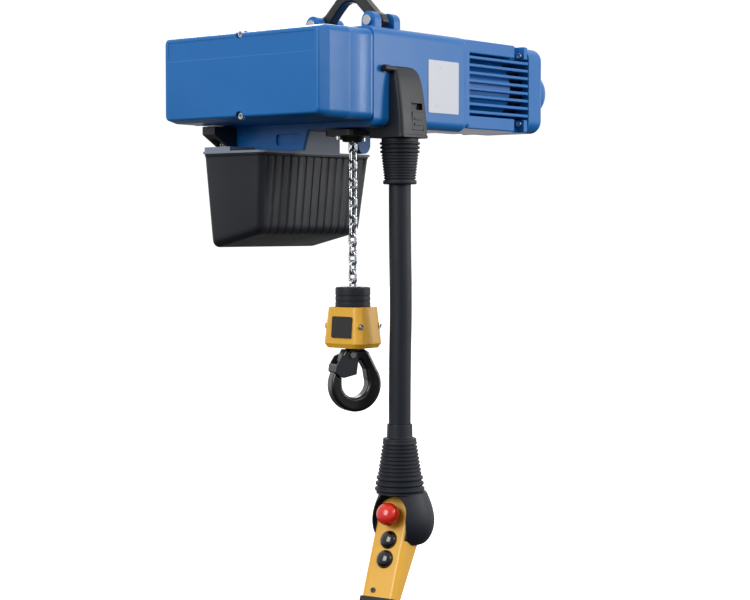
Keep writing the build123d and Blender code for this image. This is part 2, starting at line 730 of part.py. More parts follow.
def block_outer(inset=0.0):
    """Hook block casing, a little wider towards its foot."""
    top = Rectangle(2 * (BLOCK_HALF_X - 4 - inset), 2 * (BLOCK_HALF_Y - 4 - inset))
    foot = Rectangle(2 * (BLOCK_HALF_X - inset), 2 * (BLOCK_HALF_Y - inset))
    z0, z1 = BLOCK_BOTTOM + inset, BLOCK_TOP - inset
    shape = loft([
        Plane.XY.offset(z0 + 6) * fillet(foot.vertices(), 12),
        Plane.XY.offset(z1) * fillet(top.vertices(), 12),
    ])
    lower = loft([
        Plane.XY.offset(z0) * fillet(
            Rectangle(2 * (BLOCK_HALF_X - 3 - inset),
                      2 * (BLOCK_HALF_Y - 3 - inset)).vertices(), 12),
        Plane.XY.offset(z0 + 6) * fillet(foot.vertices(), 12),
    ])
    return shape + lower


def block_casing(side):
    """One half of the casing; side is -1 for the front half, 1 for the rear."""
    body = block_outer() - block_outer(4.0)
    y0, y1 = sorted((0, side * 60))
    floor = block(-20, 20, -26, 26, BLOCK_BOTTOM + 1, -447)
    body += floor
    for x in (-BLOCK_SCREWS_X, BLOCK_SCREWS_X):
        body += rod_y(4.5, -29, 29, x, BLOCK_SCREW_Z)
    body += rod_y(4.8, -29, 29, 0, CHAIN_PIN_Z) - rod_y(10, -8.5, 8.5, 0, CHAIN_PIN_Z)
    body -= rod_y(2.4 + FIT, -24, 24, 0, CHAIN_PIN_Z)
    body -= rod_z(9.5, BLOCK_TOP - 10, BLOCK_TOP + 1)
    body -= rod_z(SHANK_RADIUS + FIT + 0.02, BLOCK_BOTTOM - 1, -440)
    for x in (-BLOCK_SCREWS_X, BLOCK_SCREWS_X):
        body -= rod_y(2.0 + FIT, -40, 22.5, x, BLOCK_SCREW_Z)
        body -= rod_y(3.9, -40, -29, x, BLOCK_SCREW_Z)
    return body & block(-60, 60, y0, y1, BLOCK_BOTTOM - 1, BLOCK_TOP + 1)


def block_screws():
    screws = []
    for x in (-BLOCK_SCREWS_X, BLOCK_SCREWS_X):
        screw = rod_y(2.0, -29, 22, x, BLOCK_SCREW_Z)
        screw += rod_y(3.5, -32, -29, x, BLOCK_SCREW_Z)
        screws.append(screw - rod_y(1.7, -34, -30.6, x, BLOCK_SCREW_Z))
    return solids(*screws)


def buffer():
    ring = rod_z(BUFFER_RADIUS, BLOCK_TOP, BUFFER_TOP) - rod_z(9, -410, -370)
    return chamfer(ring.edges().filter_by(GeomType.CIRCLE).sort_by(Axis.Z)[-1], 1.2)


def capacity_plate():
    lean = math.degrees(math.atan2(4, -BLOCK_BOTTOM + BLOCK_TOP - 6))
    plate = block(-0.5, 0.5, -17, 17, -14, 14)
    plate = fillet(plate.edges().filter_by(Axis.X), 2)
    return Pos(-BLOCK_HALF_X + 0.6, -3, -425.0) * Rot(0, lean, 0) * plate


def thrust_bearing():
    bore, outer, z0, z1 = SHANK_RADIUS + 0.1, 13.0, -447.0, -440.5
    lower = rod_z(outer, z0, z0 + 1.8) - rod_z(bore, -460, -430)
    upper = rod_z(outer, z1 - 1.8, z1) - rod_z(bore, -460, -430)
    middle = (bore + outer) / 2
    balls = [
        Pos(middle * math.cos(a), middle * math.sin(a), (z0 + z1) / 2) * Sphere(1.44)
        for a in (math.tau * k / 9 for k in range(9))
    ]
    return solids(lower, upper, *balls)


def hook_nut():
    nut = Pos(0, 0, -440.3) * extrude(RegularPolygon(12, 6), 8)
    return nut - rod_z(SHANK_RADIUS, -450, -430)


def hook_frame(shape):
    """Places a shape drawn in the hook's own XZ plane."""
    return Rot(0, 0, HOOK_TURN) * shape


def hook():
    half = HOOK_THICK / 2
    eye = (BOWL[0] + 2, BOWL[1] - 2)
    outer = 36.0
    tangent = math.radians(20)
    shoulder = (eye[0] + outer * math.cos(tangent), eye[1] + outer * math.sin(tangent))
    body = rod_y(outer, -half, half, *eye)
    body += bar_y([(-14, -455), (14, -455), (20, -459), shoulder, eye, (-26, -480),
                   (-18, -462)], -half, half)
    throat = [(BOWL[0] + BOWL_RADIUS, BOWL[1]), (16, -482), (9, -470), (-60, -470),
              (-60, BOWL[1]), (BOWL[0] - BOWL_RADIUS, BOWL[1])]
    mouth = bar_y(throat, -30, 30)
    left_of_bowl = rod_y(LATCH_REACH, -30, 30, *LATCH_PIVOT)
    inside = block(BOWL[0] - BOWL_RADIUS, 60, -30, 30, -520, -455)
    body -= mouth & (left_of_bowl + inside)
    body -= rod_y(BOWL_RADIUS, -30, 30, *BOWL)
    for face_y in (-half, half):
        edges = body.edges().filter_by(lambda e: abs(e.center().Y - face_y) < 0.01)
        body = fillet(edges, HOOK_EDGE)
    shank = rod_z(SHANK_RADIUS, -457, -433)
    collar = turned([(0, -458), (9.5, -458), (10, -454.5), (10, -453.2), (0, -453.2)])
    body += shank + collar
    body -= rod_y(2.5, -30, 30, *LATCH_PIVOT)
    return hook_frame(body)


def hook_latch():
    px, pz = LATCH_PIVOT
    cheek_in = HOOK_THICK / 2 + GAP
    cheek_out = cheek_in + 2.0
    plate = bar_y([(px - 6, pz + 2), (-22, -464), (-29.5, -476), (-31, -489), (-20, -492.5),
                   (0, -488), (2.5, -470), (px + 6.4, pz)], -cheek_out, cheek_out)
    plate += rod_y(6.5, -cheek_out, cheek_out, px, pz)
    plate = plate & rod_y(LATCH_REACH - 0.5, -30, 30, px, pz)
    web = bar_y([(-40, -474), (-22, -474), (-15, -500), (-40, -500)], -cheek_in, cheek_in)
    hollow = block(-60, 60, -cheek_in, cheek_in, -520, -440) - web
    plate -= hollow
    return hook_frame(plate - rod_y(2.5 + FIT, -30, 30, px, pz))


def latch_pin():
    pin = rod_y(2.5 - FIT, -14, 14, *LATCH_PIVOT)
    pin += rod_y(4, -15.2, -12.6, *LATCH_PIVOT) + rod_y(4, 12.6, 15.2, *LATCH_PIVOT)
    return hook_frame(pin)


# ---------------------------------------------------------------- control plug and cable
def connector():
    side = [(FRONT_Y, -87), (-78.5, -87), (-89, -108), (-93, -128), (-97, -162),
            (-97, BOOT_TOP), (-43, BOOT_TOP), (-43, HOUSING_BOTTOM - 0.01), (-50, -160),
            (-60, -150), (-70, -145), (-74, -140)]
    body = bar_x(side, -17, 41)
    front = [(-17, -87), (31, -87), (38, -98), (41, -116), (41, -178), (39, -180),
             (-15, -180), (-17, -178)]
    body = body & bar_y(front, -120, -20)
    body -= housing_outer()
    body -= block(-60, 60, FRONT_Y, 0, HOUSING_BOTTOM, -80)
    body += rod_x(4.5, -33, -16, (-79.6, -91.5))
    # Window above the latch, and the latch's pocket
    body -= block(5, 28, -110, -90, -143, -135)
    body -= block(4.7, 28.3, -110, -90, -169.3, -145.7)
    return body


def connector_latch():
    tab = block(5, 28, -96.4, -92.6, -169, -146)
    tab = fillet(tab.edges().filter_by(Axis.Y), 2)
    grip = block(9, 24, -97.4, -96, -156, -153.5) + block(9, 24, -97.4, -96, -163, -160.5)
    return tab + grip


def boot_profile(top_radius, foot_radius, top, foot, rings, depth):
    """Half outline of a ringed, tapering boot, from its top down."""
    points = [(0, top), (top_radius, top)]
    pitch = (top - foot) / rings
    for k in range(rings):
        z = top - k * pitch
        radius = top_radius + (foot_radius - top_radius) * (k + 0.5) / rings
        points += [(radius, z - 0.1 * pitch), (radius, z - 0.55 * pitch)]
        points += [(radius - depth, z - 0.65 * pitch), (radius - depth, z - 0.95 * pitch)]
    points += [(foot_radius, foot), (0, foot)]
    return points


def connector_boot():
    body = turned([(0, BOOT_TOP), (24, BOOT_TOP), (24, -184.5), (0, -184.5)], *CABLE)
    body += turned(boot_profile(26.5, 25.5, -184, -200, 3, 3), *CABLE)
    body += turned(boot_profile(24.5, 20.5, -199.8, -233, 9, 1.3), *CABLE)
    return body + turned([(0, -232.9), (21.5, -232.9), (22, -238.5), (0, -238.5)], *CABLE)


CABLE_ROUTE = [
    (CABLE[0], CABLE[1], BOOT_BOTTOM),
    (CABLE[0], CABLE[1], -312.0),
    (CABLE[0] + 1.6, CABLE[1] - 1.0, -396.0),
    (CABLE[0], CABLE[1], -476.0),
    (CABLE[0], CABLE[1], NECK_TOP),
]


def corner_radii(route):
    """Each corner's arc: 0.45 of the shorter run over the tangent of half the turn."""
    points = [Vector(*p) for p in route]
    radii = []
    for a, b, c in zip(points, points[1:], points[2:]):
        half_turn = math.radians((b - a).get_angle(c - b)) / 2
        radii.append(0.45 * min((b - a).length, (c - b).length) / math.tan(half_turn))
    return radii


def control_cable():
    radii = corner_radii(CABLE_ROUTE)
    print("control cable arc radii, mm:", [round(r) for r in radii])
    path = FilletPolyline(*CABLE_ROUTE, radius=radii)
    section = Plane(origin=CABLE_ROUTE[0], z_dir=path % 0) * Circle(CABLE_DIAMETER / 2)
    tube = sweep(section, path=path)
    area = math.pi * CABLE_DIAMETER**2 / 4
    print(f"cable length {path.length:.1f} mm, volume / (section x length)",
          round(tube.volume / (area * path.length), 4))
    return tube


# ---------------------------------------------------------------- pendant
def pendant_frame(shape):
    """The pendant's own frame: +X into the body from its front face, +Z up its handle,
    origin under the stop button."""
    place = Pos(*PENDANT_ORIGIN) * Rot(0, 0, PENDANT_YAW) * Rot(0, PENDANT_LEAN, 0)
    return place * shape


def pendant_outer(inset=0.0):
    top = PENDANT_HALF_WIDTH + 0.5 - inset
    side = [(inset, top), (inset, PENDANT_FOOT), (21 - inset, PENDANT_FOOT), (34 - inset, -42),
            (41 - inset, -8), (41 - inset, 12), (30, top)]
    half = PENDANT_HALF_WIDTH - inset
    body = bar_y(side, -half, half)
    front_edges = body.edges().filter_by(lambda e: e.center().X < 5 and e.length > 90)
    body = fillet(front_edges, 8 - inset)
    back_edges = body.edges().filter_by(
        lambda e: e.center().X > 20 and e.length > 15 and abs(e.tangent_at(0.5).Y) < 0.5
    )
    body = fillet(back_edges, 9 - inset)
    crown = rod_x(top, -5, 50, (0, 0))
    below = block(-5, 50, -half, half, -120, 0)
    return body & (crown + below)


def pendant_shells():
    outer = pendant_outer()
    room = pendant_outer(2.6) & block(-1, 60, -40, 40, PENDANT_FOOT + 4, 40)
    shell = outer - room
    shell -= rod_x(STOP_RADIUS - 6, -2, 5, (0, 0))
    for z in BUTTON_Z:
        shell -= rod_x(BUTTON_RADIUS + GAP, -2, 5, (0, z))
    shell -= rod_x(2.5 + FIT, -2, 1.6, PENDANT_SCREW)
    front = shell & block(-5, SHELL_SPLIT, -40, 40, -130, 40)
    rear = shell & block(SHELL_SPLIT, 60, -40, 40, -130, 40)
    return pendant_frame(front), pendant_frame(rear)


def pendant_boot():
    """Black rubber: neck, ringed boot, and the hood round the pendant's top."""
    x, y = CABLE
    body = turned([(0, NECK_TOP), (16.5, NECK_TOP), (16.5, -568), (22, -569), (22, -574),
                   (0, -574)], x, y)
    body += turned(boot_profile(22.0, 29.0, -573.8, -618, 9, 0.7), x, y)
    body += turned(boot_profile(29.5, 33.0, -617.8, -640, 3, 1.8), x, y)
    hood = turned([(0, -639), (32.5, -639), (36.5, -652), (40.5, -668), (41, -678),
                   (38, -692), (32, -703), (27, -708), (0, -708)], x + 5, y - 2)
    body += hood
    in_front = pendant_frame(block(-80, 1.2, -60, 60, -80, PENDANT_HALF_WIDTH + 0.4))
    body -= in_front & block(-80, 80, -160, 20, -760, -640)
    body -= pendant_frame(pendant_outer())
    return body.solids().sort_by(SortBy.VOLUME)[-1]


def pendant_bumper():
    foot = PENDANT_FOOT
    side = [(-1.5, foot), (22.5, foot), (20, foot - 17), (15, foot - 26), (3, foot - 26),
            (-1.5, foot - 17)]
    half = PENDANT_HALF_WIDTH + 0.5
    body = bar_y(side, -half, half)
    body = fillet(body.edges().filter_by(lambda e: abs(e.tangent_at(0.5).Y) < 0.1
                                         and e.center().Z < foot - 1), 4)
    return pendant_frame(body)


def stop_cap():
    cap = turned([(0, -6), (STOP_RADIUS - 3, -6), (STOP_RADIUS - 1, -5), (STOP_RADIUS, -2),
                  (STOP_RADIUS, 5), (STOP_RADIUS - 1.5, 9), (STOP_RADIUS - 5, 12.5),
                  (0, 14.5)])
    cap -= rod_z(4 + FIT, -10, 1)
    return pendant_frame(Pos(-12.5, 0, 0) * Rot(0, -90, 0) * cap)


def stop_stem():
    stem = rod_x(4, -13.4, 10.0, (0, 0)) + rod_x(8, 6.0, 8.0, (0, 0))
    return pendant_frame(stem)


def push_button(z):
    cap = turned([(0, 0), (BUTTON_RADIUS, 0), (BUTTON_RADIUS, 2), (BUTTON_RADIUS - 1.5, 4.4),
                  (BUTTON_RADIUS - 5, 6), (0, 6.8)])
    cap += rod_z(BUTTON_RADIUS, -4, 0) + rod_z(BUTTON_RADIUS + 0.8, -6.5, -3.2)
    return pendant_frame(Pos(0, 0, z) * Rot(0, -90, 0) * cap)


def contact_block():
    base = block(18, 23, -16, 16, -66, 14)
    for z in (0, *BUTTON_Z):
        base += block(15.5, 20, -9, 9, z - 8, z + 8)
    return pendant_frame(base)


def pendant_screw():
    screw = rod_x(2.5, -0.6, 1.5, PENDANT_SCREW) + rod_x(3.4, -1.2, -0.02, PENDANT_SCREW)
    return pendant_frame(screw - rod_x(1.3, -2, -0.5, PENDANT_SCREW))


# ---------------------------------------------------------------- electrics
def control_board():
    board = block(-60, -58.4, -60, 55, -150, -52)
    parts = [(-20, -100), (10, -100), (-20, -130), (10, -130), (-45, -75)]
    for y, z in parts:
        board += block(-74, -59.5, y - 9, y + 9, z - 7, z + 7)
    return board


def contactors():
    units = []
    for y in (85, 135):
        unit = block(-118, -58, y, y + 44, -140, -70)
        unit -= block(-119, -100, y + 4, y + 40, -84, -69)
        unit -= block(-119, -100, y + 4, y + 40, -141, -126)
        units.append(unit)
    return solids(*units)


def rating_label():
    return fillet(block(65, 131, FRONT_Y - 0.6, FRONT_Y, -143, -73.5).edges().filter_by(
        Axis.Y), 2)


def main():
    front_shell, rear_shell = pendant_shells()
    nodes = {
        "main_housing": main_housing(),
        "electrics_cover": electrics_cover(),
        "housing_screws": housing_screws(),
        "gear_carrier": gear_carrier(),
        "motor_housing": motor_housing(),
        "fan_cover": fan_cover(),
        "suspension_bow": suspension_bow(),
        "suspension_pins": suspension_pins(),
        "chain_guide": chain_guide(),
        "chain_box": chain_box(),
        "chain_chute": chain_chute(),
        "box_bracket": box_bracket(),
        "box_bolt": box_bolt(),
        "stored_chain": stored_chain(),
        "rating_label": rating_label(),
        "control_board": control_board(),
        "contactors": contactors(),
        "motor_stator": motor_stator(),
        "motor_rotor": motor_rotor(),
        "motor_shaft": motor_shaft(),
        "fan": fan(),
        "brake_disc": brake_disc(),
        "brake_magnet": brake_magnet(),
        "brake_armature": brake_armature(),
        "motor_bearings": bearings(["motor_front", "motor_rear"]),
        "gear_bearings": bearings([n for n in SEATS if not n.startswith("motor")]),
        "first_shaft": first_shaft(),
        "first_gear": first_gear(),
        "second_shaft": second_shaft(),
        "second_gear": second_gear(),
        "output_shaft": output_shaft(),
        "output_gear": output_gear(),
        "pocket_wheel": pocket_wheel(),
        "load_chain": load_chain(),
        "slack_chain": slack_chain(),
        "buffer": buffer(),
        "block_casing_front": block_casing(-1),
        "block_casing_rear": block_casing(1),
        "block_screws": block_screws(),
        "chain_pin": rod_y(2.4, -23, 23, 0, CHAIN_PIN_Z),
        "capacity_plate": capacity_plate(),
        "thrust_bearing": thrust_bearing(),
        "hook_nut": hook_nut(),
        "hook": hook(),
        "hook_latch": hook_latch(),
        "latch_pin": latch_pin(),
        "connector": connector(),
        "connector_latch": connector_latch(),
        "connector_boot": connector_boot(),
        "control_cable": control_cable(),
        "pendant_boot": pendant_boot(),
        "pendant_front_shell": front_shell,
        "pendant_rear_shell": rear_shell,
        "pendant_bumper": pendant_bumper(),
        "pendant_screw": pendant_screw(),
        "stop_cap": stop_cap(),
        "stop_stem": stop_stem(),
        "up_button": push_button(BUTTON_Z[0]),
        "down_button": push_button(BUTTON_Z[1]),
        "contact_block": contact_block(),
    }
    for node, shape in nodes.items():
        save(node, shape)


main()
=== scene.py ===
import json
import math

import bmesh
import bpy
from mathutils import Matrix, Vector


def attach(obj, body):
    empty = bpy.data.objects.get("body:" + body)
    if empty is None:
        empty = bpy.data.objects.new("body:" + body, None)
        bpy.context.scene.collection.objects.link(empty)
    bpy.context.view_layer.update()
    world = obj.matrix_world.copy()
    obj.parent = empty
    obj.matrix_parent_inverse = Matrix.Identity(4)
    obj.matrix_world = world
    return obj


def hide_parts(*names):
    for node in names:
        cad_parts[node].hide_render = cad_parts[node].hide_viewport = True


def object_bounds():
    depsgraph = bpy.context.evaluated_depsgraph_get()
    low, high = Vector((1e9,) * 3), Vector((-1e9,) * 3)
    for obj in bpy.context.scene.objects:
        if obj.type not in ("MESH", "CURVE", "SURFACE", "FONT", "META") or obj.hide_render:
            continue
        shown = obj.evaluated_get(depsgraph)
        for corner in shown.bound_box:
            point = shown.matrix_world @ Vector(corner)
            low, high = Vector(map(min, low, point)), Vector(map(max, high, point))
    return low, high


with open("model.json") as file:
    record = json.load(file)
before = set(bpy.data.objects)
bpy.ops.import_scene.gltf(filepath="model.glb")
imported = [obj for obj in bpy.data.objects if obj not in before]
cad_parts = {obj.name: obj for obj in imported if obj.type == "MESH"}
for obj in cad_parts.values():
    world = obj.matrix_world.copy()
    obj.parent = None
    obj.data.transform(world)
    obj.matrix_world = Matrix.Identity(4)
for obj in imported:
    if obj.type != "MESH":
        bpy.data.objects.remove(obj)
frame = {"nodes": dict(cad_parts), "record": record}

cad_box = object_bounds()
NODES = frame["nodes"]
MM = 0.001                          # the mesh tools below work in millimetres


# ---------------------------------------------------------------- camera
CAMERA_PLACE = (-1.761, -1.500, -0.292)
CAMERA_HEADING = 39.7               # degrees from +X towards +Y
CAMERA_DROP = 2.43                  # degrees below the horizon
CAMERA_LENS = 84.1
CAMERA_SENSOR = 36
CAMERA_CLIP = (0.05, 60)


def make_camera():
    camera = bpy.data.objects.new("camera", bpy.data.cameras.new("camera"))
    bpy.context.scene.collection.objects.link(camera)
    heading, drop = math.radians(CAMERA_HEADING), math.radians(CAMERA_DROP)
    aim = Vector((math.cos(heading) * math.cos(drop), math.sin(heading) * math.cos(drop),
                  -math.sin(drop)))
    camera.location = CAMERA_PLACE
    camera.rotation_euler = aim.to_track_quat("-Z", "Y").to_euler()
    camera.data.lens = CAMERA_LENS
    camera.data.sensor_width = CAMERA_SENSOR
    camera.data.clip_start, camera.data.clip_end = CAMERA_CLIP
    bpy.context.scene.camera = camera


make_camera()

# ---------------------------------------------------------------- control cable
CABLE_DIAMETER = 0.029
CABLE_POINTS = [
    (0.012, -0.070, -0.2385),
    (0.012, -0.070, -0.312),
    (0.0136, -0.071, -0.396),
    (0.012, -0.070, -0.476),
    (0.012, -0.070, -0.550),
]


def make_cable():
    curve = bpy.data.curves.new("control_cable_sleeve", "CURVE")
    curve.dimensions = "3D"
    spline = curve.splines.new("NURBS")
    spline.points.add(len(CABLE_POINTS) - 1)
    for point, place in zip(spline.points, CABLE_POINTS):
        point.co = (*place, 1)
        point.radius = CABLE_DIAMETER / 2
    spline.order_u = 3
    spline.use_endpoint_u = True
    curve.resolution_u = 16
    curve.bevel_depth = 1.0         # each point's radius is then the cable's own
    curve.bevel_resolution = 10
    curve.use_fill_caps = True
    cable = bpy.data.objects.new("control_cable_sleeve", curve)
    bpy.context.scene.collection.objects.link(cable)
    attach(cable, "hoist")
    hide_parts("control_cable")
    return cable


cable = make_cable()


# ---------------------------------------------------------------- materials
MIX_A, MIX_B, MIX_RESULT = 6, 7, 2  # a Mix node's sockets for colours
EDGE_SAMPLES = 4
EDGE_TINT_FROM, EDGE_TINT_FULL = 0.985, 0.90  # cosines between the surface's and the bevelled normal, for the lighter edges (wear and painted highlight)
EDGE_TINT_PATCHES = 60
CLOUD_SCALE = 35                    # the slow unevenness of thick paint
SMOOTHEST = 0.03
COAT_ROUGHNESS = 0.12


def srgb(r, g, b):
    """A colour given as screen values from 0 to 255."""
    def linear(value):
        v = value / 255
        return v / 12.92 if v <= 0.04045 else ((v + 0.055) / 1.055) ** 2.4
    return (linear(r), linear(g), linear(b), 1.0)


def scaled(colour, factor):
    return tuple(min(1.0, c * factor) for c in colour[:3]) + (1.0,)


def surface(name, colour, roughness, metallic=0.0, coat=0.0, spread=0.10, spread_scale=14,
            grain=0.00008, grain_scale=900, stretch=(1, 1, 1), edge=0.0006, edge_wear_and_highlight=None,
            edge_wear_and_highlight_share=0.35, rough_spread=0.07, specular=0.5, cloud=0.0):
    """A procedural finish: colour drift, uneven gloss, fine grain, softened edges, lighter at the
    rounds with wear and a painted edge highlight.
    """
    material = bpy.data.materials.new(name)
    material.use_nodes = True
    tree = material.node_tree
    shader = tree.nodes["Principled BSDF"]
    add, link = tree.nodes.new, tree.links.new
    place = add("ShaderNodeTexCoord")
    mapping = add("ShaderNodeMapping")
    mapping.inputs["Scale"].default_value = stretch
    link(place.outputs["Object"], mapping.inputs["Vector"])

    def noise(scale, detail=3.0, rough=0.55):
        node = add("ShaderNodeTexNoise")
        node.inputs["Scale"].default_value = scale
        node.inputs["Detail"].default_value = detail
        node.inputs["Roughness"].default_value = rough
        link(mapping.outputs["Vector"], node.inputs["Vector"])
        return node.outputs["Fac"]

    def mixed(a, b, factor):
        node = add("ShaderNodeMix")
        node.data_type = "RGBA"
        for socket, value in ((node.inputs[MIX_A], a), (node.inputs[MIX_B], b)):
            if isinstance(value, tuple):
                socket.default_value = value
            else:
                link(value, socket)
        link(factor, node.inputs[0])
        return node.outputs[MIX_RESULT]

    drift = noise(spread_scale, 5.0, 0.6)
    base = mixed(scaled(colour, 1 - spread), scaled(colour, 1 + spread), drift)
    bevel = add("ShaderNodeBevel")
    bevel.samples = EDGE_SAMPLES
    bevel.inputs["Radius"].default_value = edge
    # Rounded edges blend in patches towards a lighter colour: partly wear, partly a painted edge
    # highlight
    if edge_wear_and_highlight:
        flat = add("ShaderNodeNewGeometry")
        dot = add("ShaderNodeVectorMath")
        dot.operation = "DOT_PRODUCT"
        link(flat.outputs["Normal"], dot.inputs[0])
        link(bevel.outputs["Normal"], dot.inputs[1])
        edge_tint_mask = add("ShaderNodeMapRange")
        edge_tint_mask.inputs["From Min"].default_value = EDGE_TINT_FROM
        edge_tint_mask.inputs["From Max"].default_value = EDGE_TINT_FULL
        edge_tint_mask.inputs["To Max"].default_value = edge_wear_and_highlight_share
        link(dot.outputs["Value"], edge_tint_mask.inputs["Value"])
        edge_tint_amount = add("ShaderNodeMath")
        edge_tint_amount.operation = "MULTIPLY"
        link(edge_tint_mask.outputs["Result"], edge_tint_amount.inputs[0])
        link(noise(EDGE_TINT_PATCHES, 4.0, 0.7), edge_tint_amount.inputs[1])
        base = mixed(base, edge_wear_and_highlight, edge_tint_amount.outputs["Value"])
    link(base, shader.inputs["Base Color"])
    gloss = add("ShaderNodeMapRange")
    gloss.inputs["To Min"].default_value = max(SMOOTHEST, roughness - rough_spread)
    gloss.inputs["To Max"].default_value = roughness + rough_spread
    link(noise(spread_scale * 3, 4.0, 0.6), gloss.inputs["Value"])
    link(gloss.outputs["Result"], shader.inputs["Roughness"])
    bump = add("ShaderNodeBump")
    bump.inputs["Strength"].default_value = 1.0
    bump.inputs["Distance"].default_value = grain
    link(noise(grain_scale, 2.0, 0.5), bump.inputs["Height"])
    link(bevel.outputs["Normal"], bump.inputs["Normal"])
    if cloud:
        broad = add("ShaderNodeBump")
        broad.inputs["Strength"].default_value = 1.0
        broad.inputs["Distance"].default_value = cloud
        link(noise(CLOUD_SCALE, 2.0, 0.5), broad.inputs["Height"])
        link(bump.outputs["Normal"], broad.inputs["Normal"])
        bump = broad
    link(bump.outputs["Normal"], shader.inputs["Normal"])
    shader.inputs["Metallic"].default_value = metallic
    shader.inputs["Coat Weight"].default_value = coat
    shader.inputs["Coat Roughness"].default_value = COAT_ROUGHNESS
    shader.inputs["Specular IOR Level"].default_value = specular
    return material


def make_materials():
    blue = srgb(14, 106, 180)
    # Each lighter edge colour below is partly wear and partly a painted highlight on the rounded
    # edges
    return {
        "blue_paint": surface("blue_powder_coat", blue, 0.36, coat=0.10, specular=0.36, spread=0.05,
                              grain=0.00005, grain_scale=700, edge=0.0009,
                              edge_wear_and_highlight=srgb(132, 178, 226), edge_wear_and_highlight_share=0.5, cloud=0.0004),
        "black_plastic": surface("black_moulded_plastic", srgb(16, 21, 30), 0.48, spread=0.12,
                                 grain=0.00012, grain_scale=650, edge_wear_and_highlight=srgb(82, 88, 100)),
        "black_rubber": surface("black_rubber", srgb(20, 26, 36), 0.55, spread=0.14,
                                grain=0.00010, grain_scale=500, specular=0.4,
                                edge_wear_and_highlight=srgb(74, 80, 92), edge_wear_and_highlight_share=0.3),
        "grey_plastic": surface("grey_moulded_plastic", srgb(126, 136, 152), 0.5,
                                edge_wear_and_highlight=srgb(170, 178, 188)),
        "yellow_plastic": surface("yellow_plastic", srgb(240, 180, 50), 0.34, coat=0.2,
                                  spread=0.05, edge_wear_and_highlight=srgb(250, 210, 120), edge_wear_and_highlight_share=0.3),
        "red_plastic": surface("red_plastic", srgb(224, 40, 28), 0.22, coat=0.5, spread=0.05,
                               edge_wear_and_highlight=srgb(240, 110, 90), edge_wear_and_highlight_share=0.2),
        "button_black": surface("glossy_black_button", srgb(14, 14, 16), 0.14, coat=0.6,
                                spread=0.05, grain=0.00002),
        "bow_black": surface("black_forging_paint", srgb(24, 25, 28), 0.38, coat=0.2,
                             cloud=0.0007, edge_wear_and_highlight=srgb(70, 72, 78)),
        "hook_black": surface("black_hook_paint", srgb(14, 14, 17), 0.30, coat=0.3,
                              cloud=0.0006, edge_wear_and_highlight=srgb(70, 70, 76)),
        "zinc_chain": surface("bright_zinc_chain", srgb(205, 208, 212), 0.24, metallic=1.0,
                              spread=0.10, spread_scale=90, grain=0.00006,
                              edge_wear_and_highlight=srgb(245, 245, 245)),
        "zinc_bolt": surface("bright_zinc_bolt", srgb(210, 212, 215), 0.22, metallic=1.0,
                             spread_scale=120, grain=0.00004, grain_scale=1500),
        "steel": surface("machined_steel", srgb(150, 152, 156), 0.32, metallic=1.0,
                         stretch=(1, 8, 8), grain=0.00005, grain_scale=400),
        "cast": surface("machined_casting", srgb(170, 172, 175), 0.4, metallic=1.0,
                        grain=0.00010, grain_scale=500),
        "black_casting": surface("black_casting_paint", srgb(28, 30, 34), 0.42, coat=0.15,
                                 grain=0.00015, grain_scale=450, edge_wear_and_highlight=srgb(80, 84, 92)),
        "winding": surface("stator_laminations", srgb(120, 84, 60), 0.45, metallic=0.6,
                           stretch=(12, 1, 1), grain=0.0002, grain_scale=300),
        "board": surface("circuit_board", srgb(24, 92, 58), 0.4, spread=0.15, spread_scale=60),
        "contactor_grey": surface("contactor_plastic", srgb(96, 98, 102), 0.5),
        "label_white": surface("label_film", srgb(206, 210, 218), 0.28, coat=0.3, spread=0.01,
                               grain=0.00002, rough_spread=0.02),
        "plate_black": surface("printed_plate", srgb(16, 18, 18), 0.3, coat=0.3),
        "fan_plastic": surface("fan_plastic", srgb(46, 48, 54), 0.5),
        # The latch's pale edges are mostly a painted highlight along its rim, with some wear
        "latch_steel": surface("latch_steel", srgb(64, 66, 70), 0.38, metallic=0.7,
                               edge_wear_and_highlight=srgb(190, 190, 195), edge_wear_and_highlight_share=0.6, cloud=0.0003),
    }


MATERIALS = make_materials()


def dress(thing, material):
    """Gives an object one material in place of what it has."""
    thing.data.materials.clear()
    thing.data.materials.append(MATERIALS[material])


def dress_cad_nodes():
    slots = {part["node"]: part["material_slot"] for part in frame["record"]["subparts"]}
    # These two look unlike the rest of their slot
    own = {"hook_latch": "latch_steel", "pendant_screw": "black_casting"}
    for name, node in NODES.items():
        dress(node, own.get(name, slots[name]))


dress_cad_nodes()
dress(cable, "black_rubber")


# ---------------------------------------------------------------- mesh tools
ALONG_X = Matrix.Rotation(math.pi / 2, 4, "Y")  # lays a turned shape along X
SHARP_ANGLE = math.radians(34)
SAME_POINT = 1e-4                   # millimetres
LONGEST_CUT = 0.48                  # share of an edge that one rounded corner may take


def rounded(corners, steps=5):
    """Points along a profile of (radius, height, corner radius), its corners rounded."""
    points = [Vector(corners[0][:2])]
    for before, corner, after in zip(corners, corners[1:], corners[2:]):
        here = Vector(corner[:2])
        to_before, to_after = Vector(before[:2]) - here, Vector(after[:2]) - here
        radius = corner[2] if len(corner) > 2 else 0
        if not radius:
            points.append(here)
            continue
        half = to_before.angle(to_after) / 2
        reach = min(radius / math.tan(half), LONGEST_CUT * to_before.length,
                    LONGEST_CUT * to_after.length)
        start, end = here + to_before.normalized() * reach, here + to_after.normalized() * reach
        for k in range(steps + 1):
            t = k / steps
            points.append(start * (1 - t) ** 2 + here * 2 * t * (1 - t) + end * t * t)
    points.append(Vector(corners[-1][:2]))
    return [(p.x, p.y) for p in points]


